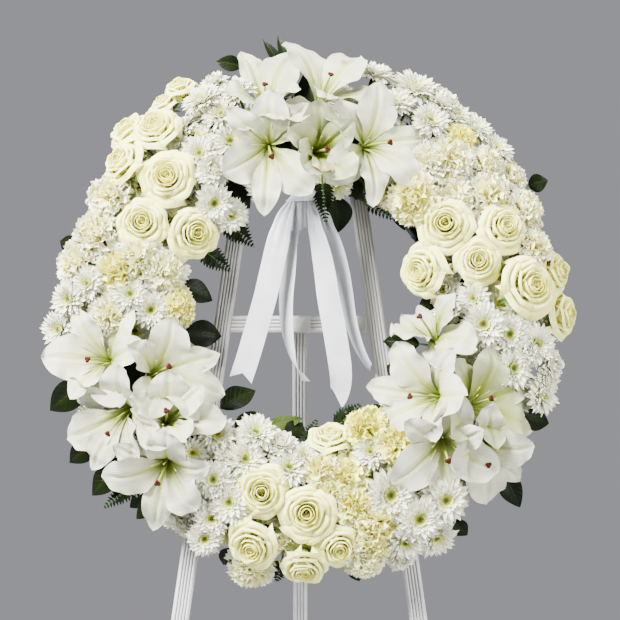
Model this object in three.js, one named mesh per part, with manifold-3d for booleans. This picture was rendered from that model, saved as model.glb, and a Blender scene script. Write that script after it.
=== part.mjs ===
// Funeral wreath: a ring of white lilies, cream roses, spray carnations and
// chrysanthemums on a floral foam ring, hung on a folding wooden easel.
// Millimetres, +Z up, the wreath faces -Y. The foot print centre is the origin.
import * as THREE from "three";
import { mergeVertices } from "three/addons/utils/BufferGeometryUtils.js";
import Module from "manifold-3d";

const wasm = await Module();
wasm.setup();
const { Manifold } = wasm;

// ---- driving dimensions (mm, degrees) ----
const GAP = 0.3;               // clearance between touching pieces
const LEAN = 10;               // front frame and wreath lean back
const RING_CENTRE = [-10.54, 1060]; // x and height of the ring's centre
const BASE_SHIFT_Y = -113.43;   // brings the overall box over the origin

const FOAM_OUTER = 248, FOAM_INNER = 178, FOAM_DEPTH = 45;
const TRAY_WALL = 2, TRAY_DEPTH = 22;

const EASEL_X = -7;            // easel centre line beside the ring's centre
const SLAT_W = 21, SLAT_T = 12, GROOVE = 1.0;
const LEG_HALF_AT_0 = 96.1;    // leg centre line from easel centre, at ring centre height
const LEG_SPLAY = 0.1345;      // outward run per mm of drop
const LEG_TOP = 292;
const BAR_LOW = -7.3, BAR_HIGH = 13.0, BAR_T = 10;
const TOP_BLOCK_LOW = 254;
const REAR_W = 18.5, REAR_T = 12, REAR_ANGLE = 30, REAR_HEAD = 10;
const PIVOT_Y = 22.5, PIVOT_Z = 1, PIN_R = 2.2;
const HOOK_R = 2, HOOK_Z = 268;

const RIBBON_T = 1.4;

// ---- plants: [x, y, z] in the ring's own frame, -y in front ----
// lily petals: [azimuth deg, opening deg, length mm]
// roses and spray heads: place, facing, radius (and shade)
// leaves: base, tip, half width, kind (0 broad, 1 narrow, 2 pale underside, 3 fern)
const LILIES = [
  { at: [-43.8, -91.8, 206.1], face: [0.023, -0.919, -0.394], petals: [[203, 61, 70], [267, 55, 91], [314, 58, 83], [49, 79, 70], [92, 78, 70], [134, 74, 70]] },
  { at: [71.9, -82.0, 207.4], face: [0.491, -0.871, 0.0], petals: [[218, 93, 70], [275, 74, 78], [315, 56, 79], [13, 73, 86], [85, 74, 80], [128, 77, 70]] },
  { at: [15.8, -76.0, 260.9], face: [0.322, -0.6, 0.732], petals: [[213, 95, 70], [251, 56, 70], [289, 94, 70], [327, 46, 70], [39, 49, 81], [118, 68, 84]] },
  { at: [-49.4, -67.3, 249.4], face: [0.062, -0.718, 0.693], petals: [[201, 50, 70], [240, 73, 70], [287, 62, 70], [329, 38, 70], [64, 59, 81], [106, 60, 84]] },
  { at: [9.7, -79.0, 200.6], face: [0.363, -0.928, -0.088], petals: [[216, 38, 70], [254, 54, 70], [311, 41, 70], [46, 38, 70], [97, 57, 70], [154, 45, 70]] },
  { at: [-233.8, -77.1, -57.0], face: [-0.421, -0.903, 0.085], petals: [[182, 54, 80], [244, 53, 70], [294, 71, 70], [6, 65, 70], [67, 83, 75], [117, 62, 76]] },
  { at: [-182.7, -82.6, -73.6], face: [0.542, -0.831, 0.127], petals: [[248, 69, 70], [301, 58, 83], [339, 71, 88], [17, 68, 86], [78, 62, 71], [153, 51, 70]] },
  { at: [-206.7, -87.5, -113.8], face: [-0.587, -0.6, -0.543], petals: [[186, 51, 84], [229, 50, 87], [305, 51, 70], [344, 65, 70], [64, 77, 70], [123, 66, 80]] },
  { at: [-166.6, -79.8, -132.0], face: [0.163, -0.942, 0.294], petals: [[243, 53, 70], [298, 39, 70], [355, 68, 75], [33, 42, 70], [93, 38, 70], [166, 38, 70]] },
  { at: [-162.4, -81.3, -175.1], face: [-0.096, -0.808, -0.581], petals: [[186, 66, 79], [253, 66, 85], [309, 52, 71], [14, 53, 70], [82, 58, 70], [148, 68, 70]] },
  { at: [156.9, -65.8, -29.7], face: [-0.333, -0.804, 0.493], petals: [[229, 38, 70], [293, 70, 70], [336, 74, 70], [40, 40, 70], [98, 90, 70], [136, 92, 70]] },
  { at: [160.6, -87.6, -100.7], face: [-0.687, -0.727, 0.0], petals: [[211, 63, 77], [287, 57, 70], [354, 64, 70], [53, 66, 70], [112, 56, 82], [170, 59, 90]] },
  { at: [190.5, -84.0, -112.2], face: [0.627, -0.765, 0.147], petals: [[224, 70, 70], [275, 55, 70], [337, 67, 86], [16, 62, 84], [74, 55, 76], [130, 60, 70]] },
  { at: [162.5, -86.0, -149.4], face: [0.015, -0.867, -0.499], petals: [[211, 62, 82], [275, 72, 83], [337, 64, 77], [35, 45, 70], [73, 70, 70], [144, 56, 70]] },
  { at: [208.9, -70.8, -150.2], face: [0.117, -0.831, -0.544], petals: [[180, 39, 70], [245, 71, 83], [283, 68, 75], [321, 77, 70], [12, 52, 70], [85, 61, 70]] },
];
const ROSES = [
  [[-182.6, -62.1, 234.3], [-0.289, -0.595, 0.75], 27.9],
  [[-221.5, -73.4, 187.0], [-0.635, -0.675, 0.377], 30.3],
  [[-166.2, -89.4, 166.7], [-0.083, -0.993, 0.083], 33.8],
  [[-196.8, -89.9, 109.4], [-0.03, -0.999, 0.017], 31.4],
  [[-135.7, -81.4, 100.2], [0.427, -0.871, -0.244], 32.6],
  [[170.3, -88.9, 108.4], [-0.132, -0.988, -0.084], 33.8],
  [[238.1, -85.6, 103.0], [0.375, -0.919, 0.12], 31.4],
  [[145.1, -75.4, 55.7], [-0.7, -0.697, -0.158], 32.6],
  [[208.1, -90.0, 62.6], [-0.029, -1.0, -0.009], 29.1],
  [[267.3, -82.8, 33.4], [0.471, -0.881, 0.047], 37.2],
  [[-50.5, -90.0, -214.9], [0.0, -1.0, 0.002], 32.6],
  [[2.5, -89.1, -238.3], [0.001, -0.99, -0.141], 33.8],
  [[-60.0, -78.9, -272.9], [-0.304, -0.76, -0.574], 32.6],
  [[39.1, -73.7, -274.9], [0.156, -0.836, -0.526], 27.9],
  [[-1.1, -67.2, -298.1], [-0.002, -0.568, -0.823], 29.1],
  [[29.9, -67.8, -149.9], [-0.084, -0.639, 0.765], 26.8],
];
const SPRAYS = {
  spray_rose_top_left: { kind: 'rose', heads: [[[-218.0, -40.0, 237.8], [-0.585, -0.525, 0.618], 25.6], [[-157.0, -32.0, 296.9], [-0.275, -0.579, 0.767], 18.6], [[-175.6, -32.0, 274.9], [-0.455, -0.547, 0.702], 18.6]] },
  spray_rose_right: { kind: 'rose', heads: [[[311.9, -40.0, 6.6], [0.882, -0.471, 0.01], 27.9], [[304.5, -40.0, 60.2], [0.813, -0.571, 0.112], 25.6]] },
  carnations_left: { kind: 'carnation', heads: [[[-240.2, -75.1, 148.9], [-0.542, -0.758, 0.364], 27.9, 0], [[-254.5, -80.1, 101.7], [-0.446, -0.874, 0.192], 27.9, 0], [[-198.7, -88.2, 63.0], [0.112, -0.986, -0.123], 29.1, 0], [[-278.9, -72.3, 66.2], [-0.67, -0.74, 0.063], 25.6, 0], [[-169.0, -80.8, 52.2], [0.464, -0.869, -0.174], 26.8, 0], [[-225.1, -87.4, 53.3], [-0.054, -0.978, 0.203], 27.9, 1], [[-153.5, -70.8, 13.5], [0.591, -0.795, 0.14], 23.3, 1], [[-233.6, -88.3, -1.8], [-0.009, -1.0, -0.014], 23.3, 0]] },
  carnations_top_right: { kind: 'carnation', heads: [[[176.5, -83.8, 190.6], [0.132, -0.956, 0.261], 29.1, 0], [[220.5, -68.2, 188.3], [0.392, -0.777, 0.492], 25.6, 0], [[253.6, -43.2, 182.0], [0.613, -0.585, 0.531], 23.3, 0], [[133.3, -86.5, 140.0], [-0.297, -0.93, -0.215], 31.4, 3], [[188.1, -84.1, 146.8], [0.107, -0.99, 0.094], 23.3, 0], [[225.0, -78.6, 148.1], [0.362, -0.901, 0.237], 29.1, 0], [[269.4, -60.0, 133.7], [0.697, -0.655, 0.291], 26.8, 0], [[190.4, -67.8, 222.6], [0.401, -0.684, 0.61], 21.0, 2], [[280.0, -66.3, 88.5], [0.565, -0.727, 0.389], 23.3, 0], [[151.9, -86.9, 189.8], [0.101, -0.955, 0.28], 21.0, 0]] },
  carnations_bottom: { kind: 'carnation', heads: [[[71.7, -71.2, -132.2], [-0.329, -0.796, 0.508], 25.6, 2], [[106.9, -82.3, -157.4], [-0.079, -0.949, 0.304], 25.6, 1], [[47.4, -82.4, -193.0], [-0.102, -0.949, 0.299], 25.6, 0], [[29.6, -85.3, -211.0], [0.014, -0.994, 0.109], 23.3, 0], [[59.1, -83.3, -228.5], [0.167, -0.982, -0.091], 25.6, 0], [[82.7, -79.4, -251.8], [-0.005, -0.957, -0.289], 27.9, 0], [[82.9, -70.9, -274.8], [0.337, -0.824, -0.455], 23.3, 0], [[17.8, -84.2, -187.3], [-0.061, -0.919, 0.389], 23.3, 0], [[71.2, -60.9, -295.5], [0.162, -0.621, -0.767], 21.0, 0]] },
  carnations_bottom_left: { kind: 'carnation', heads: [[[-65.7, -40.0, -302.9], [-0.147, -0.507, -0.85], 26.0, 0]] },
  chrysanthemums_top_left: { kind: 'mum', heads: [[[-82.6, -74.4, 277.9], [-0.305, -0.703, 0.643], 20.4], [[-125.9, -68.9, 269.3], [-0.368, -0.722, 0.586], 21.6], [[-101.9, -77.9, 248.9], [-0.31, -0.865, 0.395], 20.4], [[-90.2, -87.3, 212.2], [0.116, -0.962, 0.246], 19.2], [[-128.0, -84.5, 197.9], [-0.156, -0.98, 0.122], 20.4], [[-111.8, -88.7, 176.8], [0.203, -0.969, 0.142], 20.4], [[-110.4, -84.5, 136.7], [0.118, -0.923, -0.365], 20.4], [[-91.3, -74.7, 124.0], [0.353, -0.846, -0.399], 18.0], [[-112.5, -45.9, 296.7], [-0.432, -0.6, 0.673], 16.8]] },
  chrysanthemums_top_right: { kind: 'mum', heads: [[[87.2, -45.0, 309.9], [0.196, -0.549, 0.813], 19.2], [[137.1, -42.5, 291.2], [0.308, -0.607, 0.733], 26.4], [[111.9, -71.5, 264.7], [0.042, -0.739, 0.672], 19.2], [[168.1, -41.8, 272.0], [0.466, -0.551, 0.692], 24.0], [[153.2, -74.8, 240.9], [0.277, -0.879, 0.388], 20.4], [[186.5, -42.9, 255.0], [0.319, -0.757, 0.571], 20.4], [[210.8, -46.3, 238.6], [0.395, -0.698, 0.597], 20.4], [[235.1, -47.6, 212.7], [0.425, -0.76, 0.492], 19.2]] },
  chrysanthemums_left: { kind: 'mum', heads: [[[-283.3, -78.0, 18.4], [-0.579, -0.809, -0.101], 20.4], [[-296.4, -63.3, -15.9], [-0.627, -0.769, -0.129], 20.4], [[-261.2, -84.4, 36.8], [-0.419, -0.907, 0.046], 18.0], [[-209.8, -90.7, 22.1], [0.216, -0.95, 0.227], 19.2], [[-186.1, -84.7, 4.9], [0.295, -0.948, -0.123], 19.2]] },
  chrysanthemums_right: { kind: 'mum', heads: [[[214.0, -91.1, -14.4], [-0.118, -0.992, -0.04], 22.8], [[244.5, -83.6, -24.1], [0.079, -0.983, -0.163], 20.4], [[213.0, -84.4, -42.4], [-0.021, -0.996, -0.085], 18.0], [[202.9, -86.8, 18.0], [-0.324, -0.945, 0.046], 16.8], [[247.7, -80.5, -66.0], [0.421, -0.906, 0.047], 21.6], [[275.9, -79.3, -36.8], [0.448, -0.881, -0.151], 21.6], [[293.1, -62.3, -58.5], [0.677, -0.735, 0.029], 19.2], [[263.4, -82.8, -45.8], [0.296, -0.949, 0.109], 16.8], [[282.8, -61.1, -94.8], [0.724, -0.689, -0.038], 20.4], [[289.2, -61.7, -76.7], [0.699, -0.681, -0.217], 16.8]] },
  chrysanthemums_bottom_left: { kind: 'mum', heads: [[[-105.7, -82.5, -144.3], [0.166, -0.972, 0.164], 20.4], [[-58.3, -76.9, -143.7], [0.133, -0.853, 0.505], 21.6], [[-71.0, -83.5, -175.3], [0.275, -0.922, 0.274], 21.6], [[-18.9, -81.0, -185.8], [0.202, -0.857, 0.474], 21.6], [[-107.3, -89.0, -199.5], [-0.133, -0.986, -0.1], 20.4], [[-88.2, -89.0, -226.6], [-0.188, -0.979, -0.08], 20.4], [[-109.8, -78.3, -243.5], [-0.029, -0.943, -0.333], 19.2], [[-133.7, -86.6, -167.3], [0.155, -0.986, -0.069], 16.8], [[-118.3, -69.0, -266.4], [-0.096, -0.889, -0.448], 18.0], [[-29.8, -73.3, -156.4], [0.095, -0.879, 0.468], 18.0], [[-91.2, -83.5, -170.6], [0.044, -0.93, 0.366], 16.8], [[-1.1, -76.0, -169.8], [-0.038, -0.891, 0.453], 15.6]] },
  chrysanthemums_bottom_right: { kind: 'mum', heads: [[[100.5, -83.5, -216.7], [0.152, -0.964, -0.218], 26.4], [[134.7, -79.9, -244.7], [0.117, -0.959, -0.259], 24.0], [[165.9, -75.4, -222.0], [0.166, -0.959, -0.232], 24.0], [[155.2, -50.7, -264.2], [0.426, -0.649, -0.631], 21.6], [[118.5, -67.6, -269.9], [0.104, -0.72, -0.686], 21.6], [[78.4, -80.2, -166.7], [-0.075, -0.935, 0.346], 18.0], [[113.4, -46.5, -286.5], [0.293, -0.755, -0.586], 16.8]] },
};
const LEAVES = [
  [[-79.5, -30.0, 326.2], [-112.1, -34.0, 331.5], 9.6, 0],
  [[-25.5, -26.0, 322.2], [-54.5, -30.0, 362.9], 6.0, 1],
  [[-19.2, -24.0, 325.5], [-35.7, -28.0, 367.5], 6.0, 1],
  [[21.1, -24.0, 317.6], [21.1, -28.0, 337.3], 6.0, 0],
  [[80.8, -45.4, 283.9], [97.8, -30.0, 318.4], 8.4, 0],
  [[36.8, -47.8, 155.4], [40.7, -26.0, 111.0], 18.0, 0],
  [[20.8, -42.4, 165.6], [28.4, -18.0, 115.3], 10.8, 3],
  [[62.5, -58.9, 174.2], [62.5, -55.9, 147.2], 8.4, 0],
  [[-94.9, -53.8, 165.4], [-67.9, -47.7, 139.0], 14.4, 0],
  [[-102.1, -53.2, 127.7], [-60.8, -30.0, 92.4], 13.2, 3],
  [[-128.9, -48.5, 88.6], [-89.1, -28.0, 62.6], 12.0, 3],
  [[-152.9, -49.5, 43.4], [-112.3, -28.0, 27.4], 13.2, 0],
  [[-147.9, -40.5, -14.6], [-101.0, -24.0, -16.8], 15.6, 0],
  [[-262.3, -55.0, -75.7], [-313.2, -30.0, -111.6], 16.8, 0],
  [[-249.5, -48.9, -145.4], [-287.4, -30.0, -175.0], 13.2, 0],
  [[-219.8, -51.8, -177.1], [-260.0, -30.0, -213.8], 14.4, 0],
  [[-216.4, -51.7, -162.6], [-251.1, -28.4, -179.7], 10.8, 0],
  [[-197.9, -51.2, -196.2], [-247.8, -28.0, -230.5], 10.8, 3],
  [[-183.5, -49.6, -208.1], [-214.2, -26.0, -227.9], 9.6, 0],
  [[-173.5, -53.2, -218.0], [-206.3, -30.0, -241.5], 9.6, 0],
  [[-103.3, -38.9, -107.8], [-60.2, -22.0, -81.0], 14.4, 0],
  [[-83.0, -53.3, -148.3], [-55.0, -28.0, -108.9], 14.4, 0],
  [[-52.0, -44.4, -132.8], [-1.3, -32.0, -119.2], 8.4, 2],
  [[-23.0, -42.7, -147.2], [-1.3, -26.0, -122.1], 12.0, 0],
  [[-0.0, -51.0, -157.7], [15.7, -30.0, -116.5], 9.6, 3],
  [[37.6, -34.7, -131.7], [69.5, -28.0, -99.1], 12.0, 3],
  [[95.3, -48.7, -130.9], [84.2, -26.0, -98.8], 9.6, 0],
  [[140.3, -38.9, -29.2], [94.4, -26.0, -23.4], 12.0, 0],
  [[127.4, -43.8, -74.2], [99.1, -28.0, -52.2], 12.0, 0],
  [[162.0, -53.3, 22.8], [138.1, -42.9, 14.8], 9.6, 0],
  [[74.8, -53.9, 141.4], [118.5, -60.6, 118.5], 6.0, 3],
  [[110.2, -58.3, 134.1], [122.2, -59.3, 108.8], 7.2, 1],
  [[126.0, -59.9, 128.7], [136.7, -61.9, 104.4], 7.2, 1],
  [[135.7, -59.9, 118.6], [143.9, -61.6, 92.0], 7.2, 1],
  [[254.4, -52.7, -116.8], [299.3, -30.0, -125.1], 14.4, 0],
  [[235.1, -41.3, -183.3], [261.0, -28.0, -228.1], 13.2, 0],
  [[202.8, -53.6, -179.7], [223.8, -28.0, -213.6], 10.8, 0],
  [[-192.2, -46.7, 210.4], [-232.0, -26.0, 246.8], 9.6, 0],
  [[277.8, -24.0, 172.6], [302.4, -28.0, 179.3], 10.8, 0],
  [[275.7, -46.8, 71.4], [327.5, -26.0, 68.0], 10.8, 0],
  [[141.8, -57.4, 222.8], [167.1, -51.1, 239.9], 9.6, 0],
  [[-80.3, -55.6, 191.5], [-99.7, -58.0, 164.3], 9.6, 0],
  [[56.2, -42.5, -291.1], [66.0, -28.0, -316.7], 9.6, 0],
  [[-27.4, -46.9, -291.3], [-34.8, -30.0, -319.1], 9.6, 3],
  [[-87.1, -48.1, -277.1], [-99.7, -30.0, -297.7], 9.6, 0],
  [[176.5, -41.3, -243.4], [196.3, -30.0, -261.9], 9.6, 0],
  [[-294.2, -45.9, 4.3], [-320.7, -30.0, -0.4], 9.6, 0],
  [[-276.2, -48.3, 88.6], [-305.9, -30.0, 102.5], 9.6, 0],
];

// ---- helpers ----
const RAD = Math.PI / 180;
const V = (a) => new THREE.Vector3(a[0], a[1], a[2]);

function solid(geometry, matrix) {
  let g = geometry.index ? geometry.toNonIndexed() : geometry.clone();
  g.deleteAttribute("normal");
  g.deleteAttribute("uv");
  if (matrix) g.applyMatrix4(matrix);
  g = mergeVertices(g, 1e-4);
  const pos = Float32Array.from(g.attributes.position.array);
  const idx = [];
  const src = g.index.array;
  for (let i = 0; i < src.length; i += 3) {
    const [a, b, c] = [src[i], src[i + 1], src[i + 2]];
    if (a !== b && b !== c && c !== a) idx.push(a, b, c);
  }
  if (matrix && matrix.determinant() < 0) {
    for (let i = 0; i < idx.length; i += 3) [idx[i], idx[i + 1]] = [idx[i + 1], idx[i]];
  }
  return new Manifold(new wasm.Mesh({ numProp: 3, vertProperties: pos, triVerts: Uint32Array.from(idx) }));
}

function largest(m) {
  const parts = m.decompose();
  if (parts.length === 0) return m;
  return parts.reduce((a, b) => (b.volume() > a.volume() ? b : a));
}

function toGeometry(m) {
  const mesh = m.getMesh();
  const g = new THREE.BufferGeometry();
  const n = mesh.numProp;
  const p = new Float32Array((mesh.vertProperties.length / n) * 3);
  for (let i = 0; i < p.length / 3; i++) {
    p[3 * i] = mesh.vertProperties[n * i];
    p[3 * i + 1] = mesh.vertProperties[n * i + 1];
    p[3 * i + 2] = mesh.vertProperties[n * i + 2];
  }
  g.setAttribute("position", new THREE.BufferAttribute(p, 3));
  g.setIndex(new THREE.BufferAttribute(Uint32Array.from(mesh.triVerts), 1));
  const flat = g.toNonIndexed();
  flat.computeVertexNormals();
  return flat;
}

// matrix that carries +Z to a direction, with the origin at a point
function aim(at, dir) {
  const q = new THREE.Quaternion().setFromUnitVectors(new THREE.Vector3(0, 0, 1), V(dir).normalize());
  return new THREE.Matrix4().compose(V(at), q, new THREE.Vector3(1, 1, 1));
}

function latheZ(profile, sides) {
  const g = new THREE.LatheGeometry(profile.map(([r, z]) => new THREE.Vector2(r, z)), sides);
  g.rotateX(Math.PI / 2);
  return g;
}

function rod(a, b, r, sides = 6) {
  const d = V(b).sub(V(a));
  const g = new THREE.CylinderGeometry(r, r, d.length(), sides);
  g.rotateX(Math.PI / 2);
  g.translate(0, 0, d.length() / 2);
  return solid(g, aim(a, d.toArray()));
}

function box(x0, x1, y0, y1, z0, z1) {
  const g = new THREE.BoxGeometry(x1 - x0, y1 - y0, z1 - z0);
  g.translate((x0 + x1) / 2, (y0 + y1) / 2, (z0 + z1) / 2);
  return solid(g);
}

const unite = (list) => list.reduce((a, b) => a.add(b));

// ---- materials ----
const paintedWood = (name) => new THREE.MeshStandardMaterial({ name, color: 0xe4e2de, roughness: 0.55, metalness: 0 });
const steel = () => new THREE.MeshStandardMaterial({ name: "steel", color: 0x6f6d6a, roughness: 0.4, metalness: 0.9 });
const petalWhite = () => new THREE.MeshStandardMaterial({ name: "lily_petal", color: 0xf3f1ea, roughness: 0.5, metalness: 0 });
const roseCream = () => new THREE.MeshStandardMaterial({ name: "rose_petal", color: 0xf1ead2, roughness: 0.55, metalness: 0 });
const carnationCream = () => new THREE.MeshStandardMaterial({ name: "carnation_petal", color: 0xefe9c9, roughness: 0.7, metalness: 0 });
const mumWhite = () => new THREE.MeshStandardMaterial({ name: "chrysanthemum_petal", color: 0xf2f2ea, roughness: 0.6, metalness: 0 });
const leafGreen = () => new THREE.MeshStandardMaterial({ name: "leaf", color: 0x1f3420, roughness: 0.35, metalness: 0 });
const satin = () => new THREE.MeshStandardMaterial({ name: "satin", color: 0xe9e9ec, roughness: 0.35, metalness: 0 });
const foamGreen = () => new THREE.MeshStandardMaterial({ name: "foam", color: 0x2f4a33, roughness: 0.95, metalness: 0 });
const trayPlastic = () => new THREE.MeshStandardMaterial({ name: "tray", color: 0x1d3a26, roughness: 0.5, metalness: 0 });

const root = new THREE.Group();
root.name = "funeral_wreath";
const leaned = new THREE.Group();
leaned.position.set(RING_CENTRE[0], BASE_SHIFT_Y, RING_CENTRE[1]);
leaned.rotation.x = -LEAN * RAD;
root.add(leaned);

const taken = [];              // grown pieces that later ones keep clear of
function put(name, m, material, grown) {
  const mesh = new THREE.Mesh(toGeometry(m), material);
  mesh.name = name;
  leaned.add(mesh);
  if (grown) taken.push(grown);
  return mesh;
}

// floor plane in the leaned frame
const floorNormal = [0, -Math.sin(LEAN * RAD), Math.cos(LEAN * RAD)];
const onFloor = (m) => m.trimByPlane(floorNormal, -RING_CENTRE[1]);

// ---- easel ----
// reeded slat: width along x, front face with grooves at y = 0, thickness to +y
function slatShape(w, t, grooves, depth) {
  const s = new THREE.Shape();
  const h = w / 2;
  s.moveTo(-h, t);
  s.lineTo(-h, 0.8);
  s.lineTo(-h + 0.8, 0);
  const pitch = w / (grooves + 1);
  for (let i = 1; i <= grooves; i++) {
    const x = -h + i * pitch;
    s.lineTo(x - 0.9, 0);
    s.lineTo(x, depth);
    s.lineTo(x + 0.9, 0);
  }
  s.lineTo(h - 0.8, 0);
  s.lineTo(h, 0.8);
  s.lineTo(h, t);
  s.closePath();
  return s;
}

const legFace = GAP;           // front faces of the legs, just behind the tray
const legHalf = (z) => LEG_HALF_AT_0 - LEG_SPLAY * z;
function leg(side) {
  const zTop = LEG_TOP, zBottom = -RING_CENTRE[1] / Math.cos(LEAN * RAD) - 40;
  const g = new THREE.ExtrudeGeometry(slatShape(SLAT_W, SLAT_T, 3, GROOVE), { depth: (zTop - zBottom) * Math.hypot(1, LEG_SPLAY), bevelEnabled: false });
  const a = [EASEL_X + side * legHalf(zBottom), legFace, zBottom];
  const m = new THREE.Matrix4().makeTranslation(a[0], a[1], a[2]);
  m.multiply(new THREE.Matrix4().makeRotationY(-side * Math.atan(LEG_SPLAY)));
  return onFloor(solid(g, m)).trimByPlane([0, 0, -1], -LEG_TOP);
}
put("left_leg", leg(-1), paintedWood("worn_white_paint"));
put("right_leg", leg(1), paintedWood("worn_white_paint"));

// plane just inside a leg's inner face
function insideLegs(m, clearance) {
  const n = Math.hypot(1, LEG_SPLAY);
  for (const side of [-1, 1]) {
    // points with side*(x - EASEL_X) <= legHalf(z) - width/2
    const nx = -side / n, nz = -LEG_SPLAY / n;
    const offset = (-side * EASEL_X - LEG_HALF_AT_0) / n + SLAT_W / 2 + clearance;
    m = m.trimByPlane([nx, 0, nz], offset);
  }
  return m;
}

const crossShape = (w, t, grooves) => slatShape(w, t, grooves, 0.8);
{
  const w = BAR_HIGH - BAR_LOW, y0 = legFace + 1;
  const g = new THREE.ExtrudeGeometry(crossShape(w, BAR_T, 3), { depth: 200, bevelEnabled: false });
  g.translate(0, 0, -100);
  const m = new THREE.Matrix4().makeTranslation(EASEL_X, y0, (BAR_LOW + BAR_HIGH) / 2).multiply(new THREE.Matrix4().makeRotationY(Math.PI / 2));
  put("crossbar", insideLegs(solid(g, m), GAP), paintedWood("worn_white_paint"));
}

// hook: a rod out of the top block that turns up at its end
function hookSolid(r) {
  const path = new THREE.CatmullRomCurve3([
    new THREE.Vector3(EASEL_X, legFace + 8, HOOK_Z),
    new THREE.Vector3(EASEL_X, legFace - 5, HOOK_Z),
    new THREE.Vector3(EASEL_X, legFace - 9, HOOK_Z + 1.5),
    new THREE.Vector3(EASEL_X, legFace - 11, HOOK_Z + 5),
    new THREE.Vector3(EASEL_X, legFace - 11.4, HOOK_Z + 11),
  ]);
  const s = new THREE.Shape();
  for (let i = 0; i < 8; i++) {
    const a = (i / 8) * 2 * Math.PI;
    i ? s.lineTo(r * Math.cos(a), r * Math.sin(a)) : s.moveTo(r * Math.cos(a), r * Math.sin(a));
  }
  s.closePath();
  return solid(new THREE.ExtrudeGeometry(s, { steps: 7, extrudePath: path, bevelEnabled: false }));
}
put("wreath_hook", hookSolid(HOOK_R), steel(), hookSolid(HOOK_R + 0.5));
{
  let block = box(EASEL_X - 80, EASEL_X + 80, legFace, legFace + SLAT_T, TOP_BLOCK_LOW, LEG_TOP - 4);
  block = insideLegs(block, GAP).subtract(hookSolid(HOOK_R + GAP)).subtract(rod([EASEL_X, legFace + 5, HOOK_Z], [EASEL_X, legFace + 8 + GAP, HOOK_Z], HOOK_R + GAP, 8));
  put("top_block", largest(block), paintedWood("worn_white_paint"));
}

// rear leg, hung on a pin between the ears of a bracket behind the crossbar
const rearDir = [0, Math.sin(REAR_ANGLE * RAD), -Math.cos(REAR_ANGLE * RAD)];
const barBack = legFace + 1 + BAR_T;
const plateBack = barBack + GAP + 2;
{
  const length = 1400;
  const g = new THREE.ExtrudeGeometry(slatShape(REAR_W, REAR_T, 3, 0.8), { depth: length, bevelEnabled: false });
  g.translate(0, -REAR_T / 2, -length + REAR_HEAD);
  const m = new THREE.Matrix4().makeTranslation(EASEL_X, PIVOT_Y, PIVOT_Z).multiply(new THREE.Matrix4().makeRotationX(REAR_ANGLE * RAD));
  let rear = onFloor(solid(g, m));
  rear = rear.trimByPlane([0, 1, 0], plateBack + GAP);
  rear = rear.subtract(rod([EASEL_X - 20, PIVOT_Y, PIVOT_Z], [EASEL_X + 20, PIVOT_Y, PIVOT_Z], (PIN_R + GAP) / Math.cos(Math.PI / 12), 12));
  put("rear_leg", largest(rear), paintedWood("worn_white_paint"));

  let bracket = box(EASEL_X - 20, EASEL_X + 20, barBack + GAP, plateBack, BAR_LOW + 1, BAR_HIGH - 1);
  for (const side of [-1, 1]) {
    const x = EASEL_X + side * (REAR_W / 2 + 0.6);
    const x1 = EASEL_X + side * (REAR_W / 2 + 2.4);
    bracket = bracket.add(box(Math.min(x, x1), Math.max(x, x1), plateBack - 1, PIVOT_Y + 6.5, PIVOT_Z - 6.5, PIVOT_Z + 6.5));
  }
  bracket = bracket.subtract(rod([EASEL_X - 20, PIVOT_Y, PIVOT_Z], [EASEL_X + 20, PIVOT_Y, PIVOT_Z], (PIN_R + GAP) / Math.cos(Math.PI / 12), 12));
  put("hinge_bracket", bracket, steel());
  put("hinge_pin", rod([EASEL_X - 13.5, PIVOT_Y, PIVOT_Z], [EASEL_X + 13.5, PIVOT_Y, PIVOT_Z], PIN_R, 12), steel());
}

// ---- tray and foam ring ----
function ring(profile, sides) {
  // profile [radius, depth in front of the back face], closed, clockwise seen with radius right
  const pts = profile.map(([r, d]) => new THREE.Vector2(r, d));
  pts.push(pts[0].clone());
  const g = new THREE.LatheGeometry(pts, sides);
  // lathe axis y -> -y in front
  g.rotateX(Math.PI);
  const m = solid(g);
  return m.volume() < 0 ? null : m;
}
const half = (FOAM_OUTER - FOAM_INNER) / 2, mid = (FOAM_OUTER + FOAM_INNER) / 2;
const trayBack = 0;
const lugX = EASEL_X;
const traySolid = (() => {
  const o = half + TRAY_WALL + GAP;
  const p = [[mid - o, trayBack], [mid + o, trayBack], [mid + o, TRAY_DEPTH], [mid + o - TRAY_WALL, TRAY_DEPTH], [mid + o - TRAY_WALL, TRAY_WALL], [mid - o + TRAY_WALL, TRAY_WALL], [mid - o + TRAY_WALL, TRAY_DEPTH], [mid - o, TRAY_DEPTH]];
  let t = ring(p, 24);
  const hookHole = (r) => rod([lugX, 3, HOOK_Z + HOOK_R + GAP - r * Math.cos(Math.PI / 8)], [lugX, -6, HOOK_Z + HOOK_R + GAP - r * Math.cos(Math.PI / 8)], r, 8);
  t = t.add(box(lugX - 13, lugX + 13, -TRAY_WALL, 0, FOAM_OUTER - 4, HOOK_Z + 9)).subtract(hookHole(6.5));
  return t;
})();
const foamSolid = ring([[FOAM_INNER, TRAY_WALL + GAP], [FOAM_OUTER, TRAY_WALL + GAP], [FOAM_OUTER, FOAM_DEPTH], [FOAM_INNER, FOAM_DEPTH]], 24);

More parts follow.
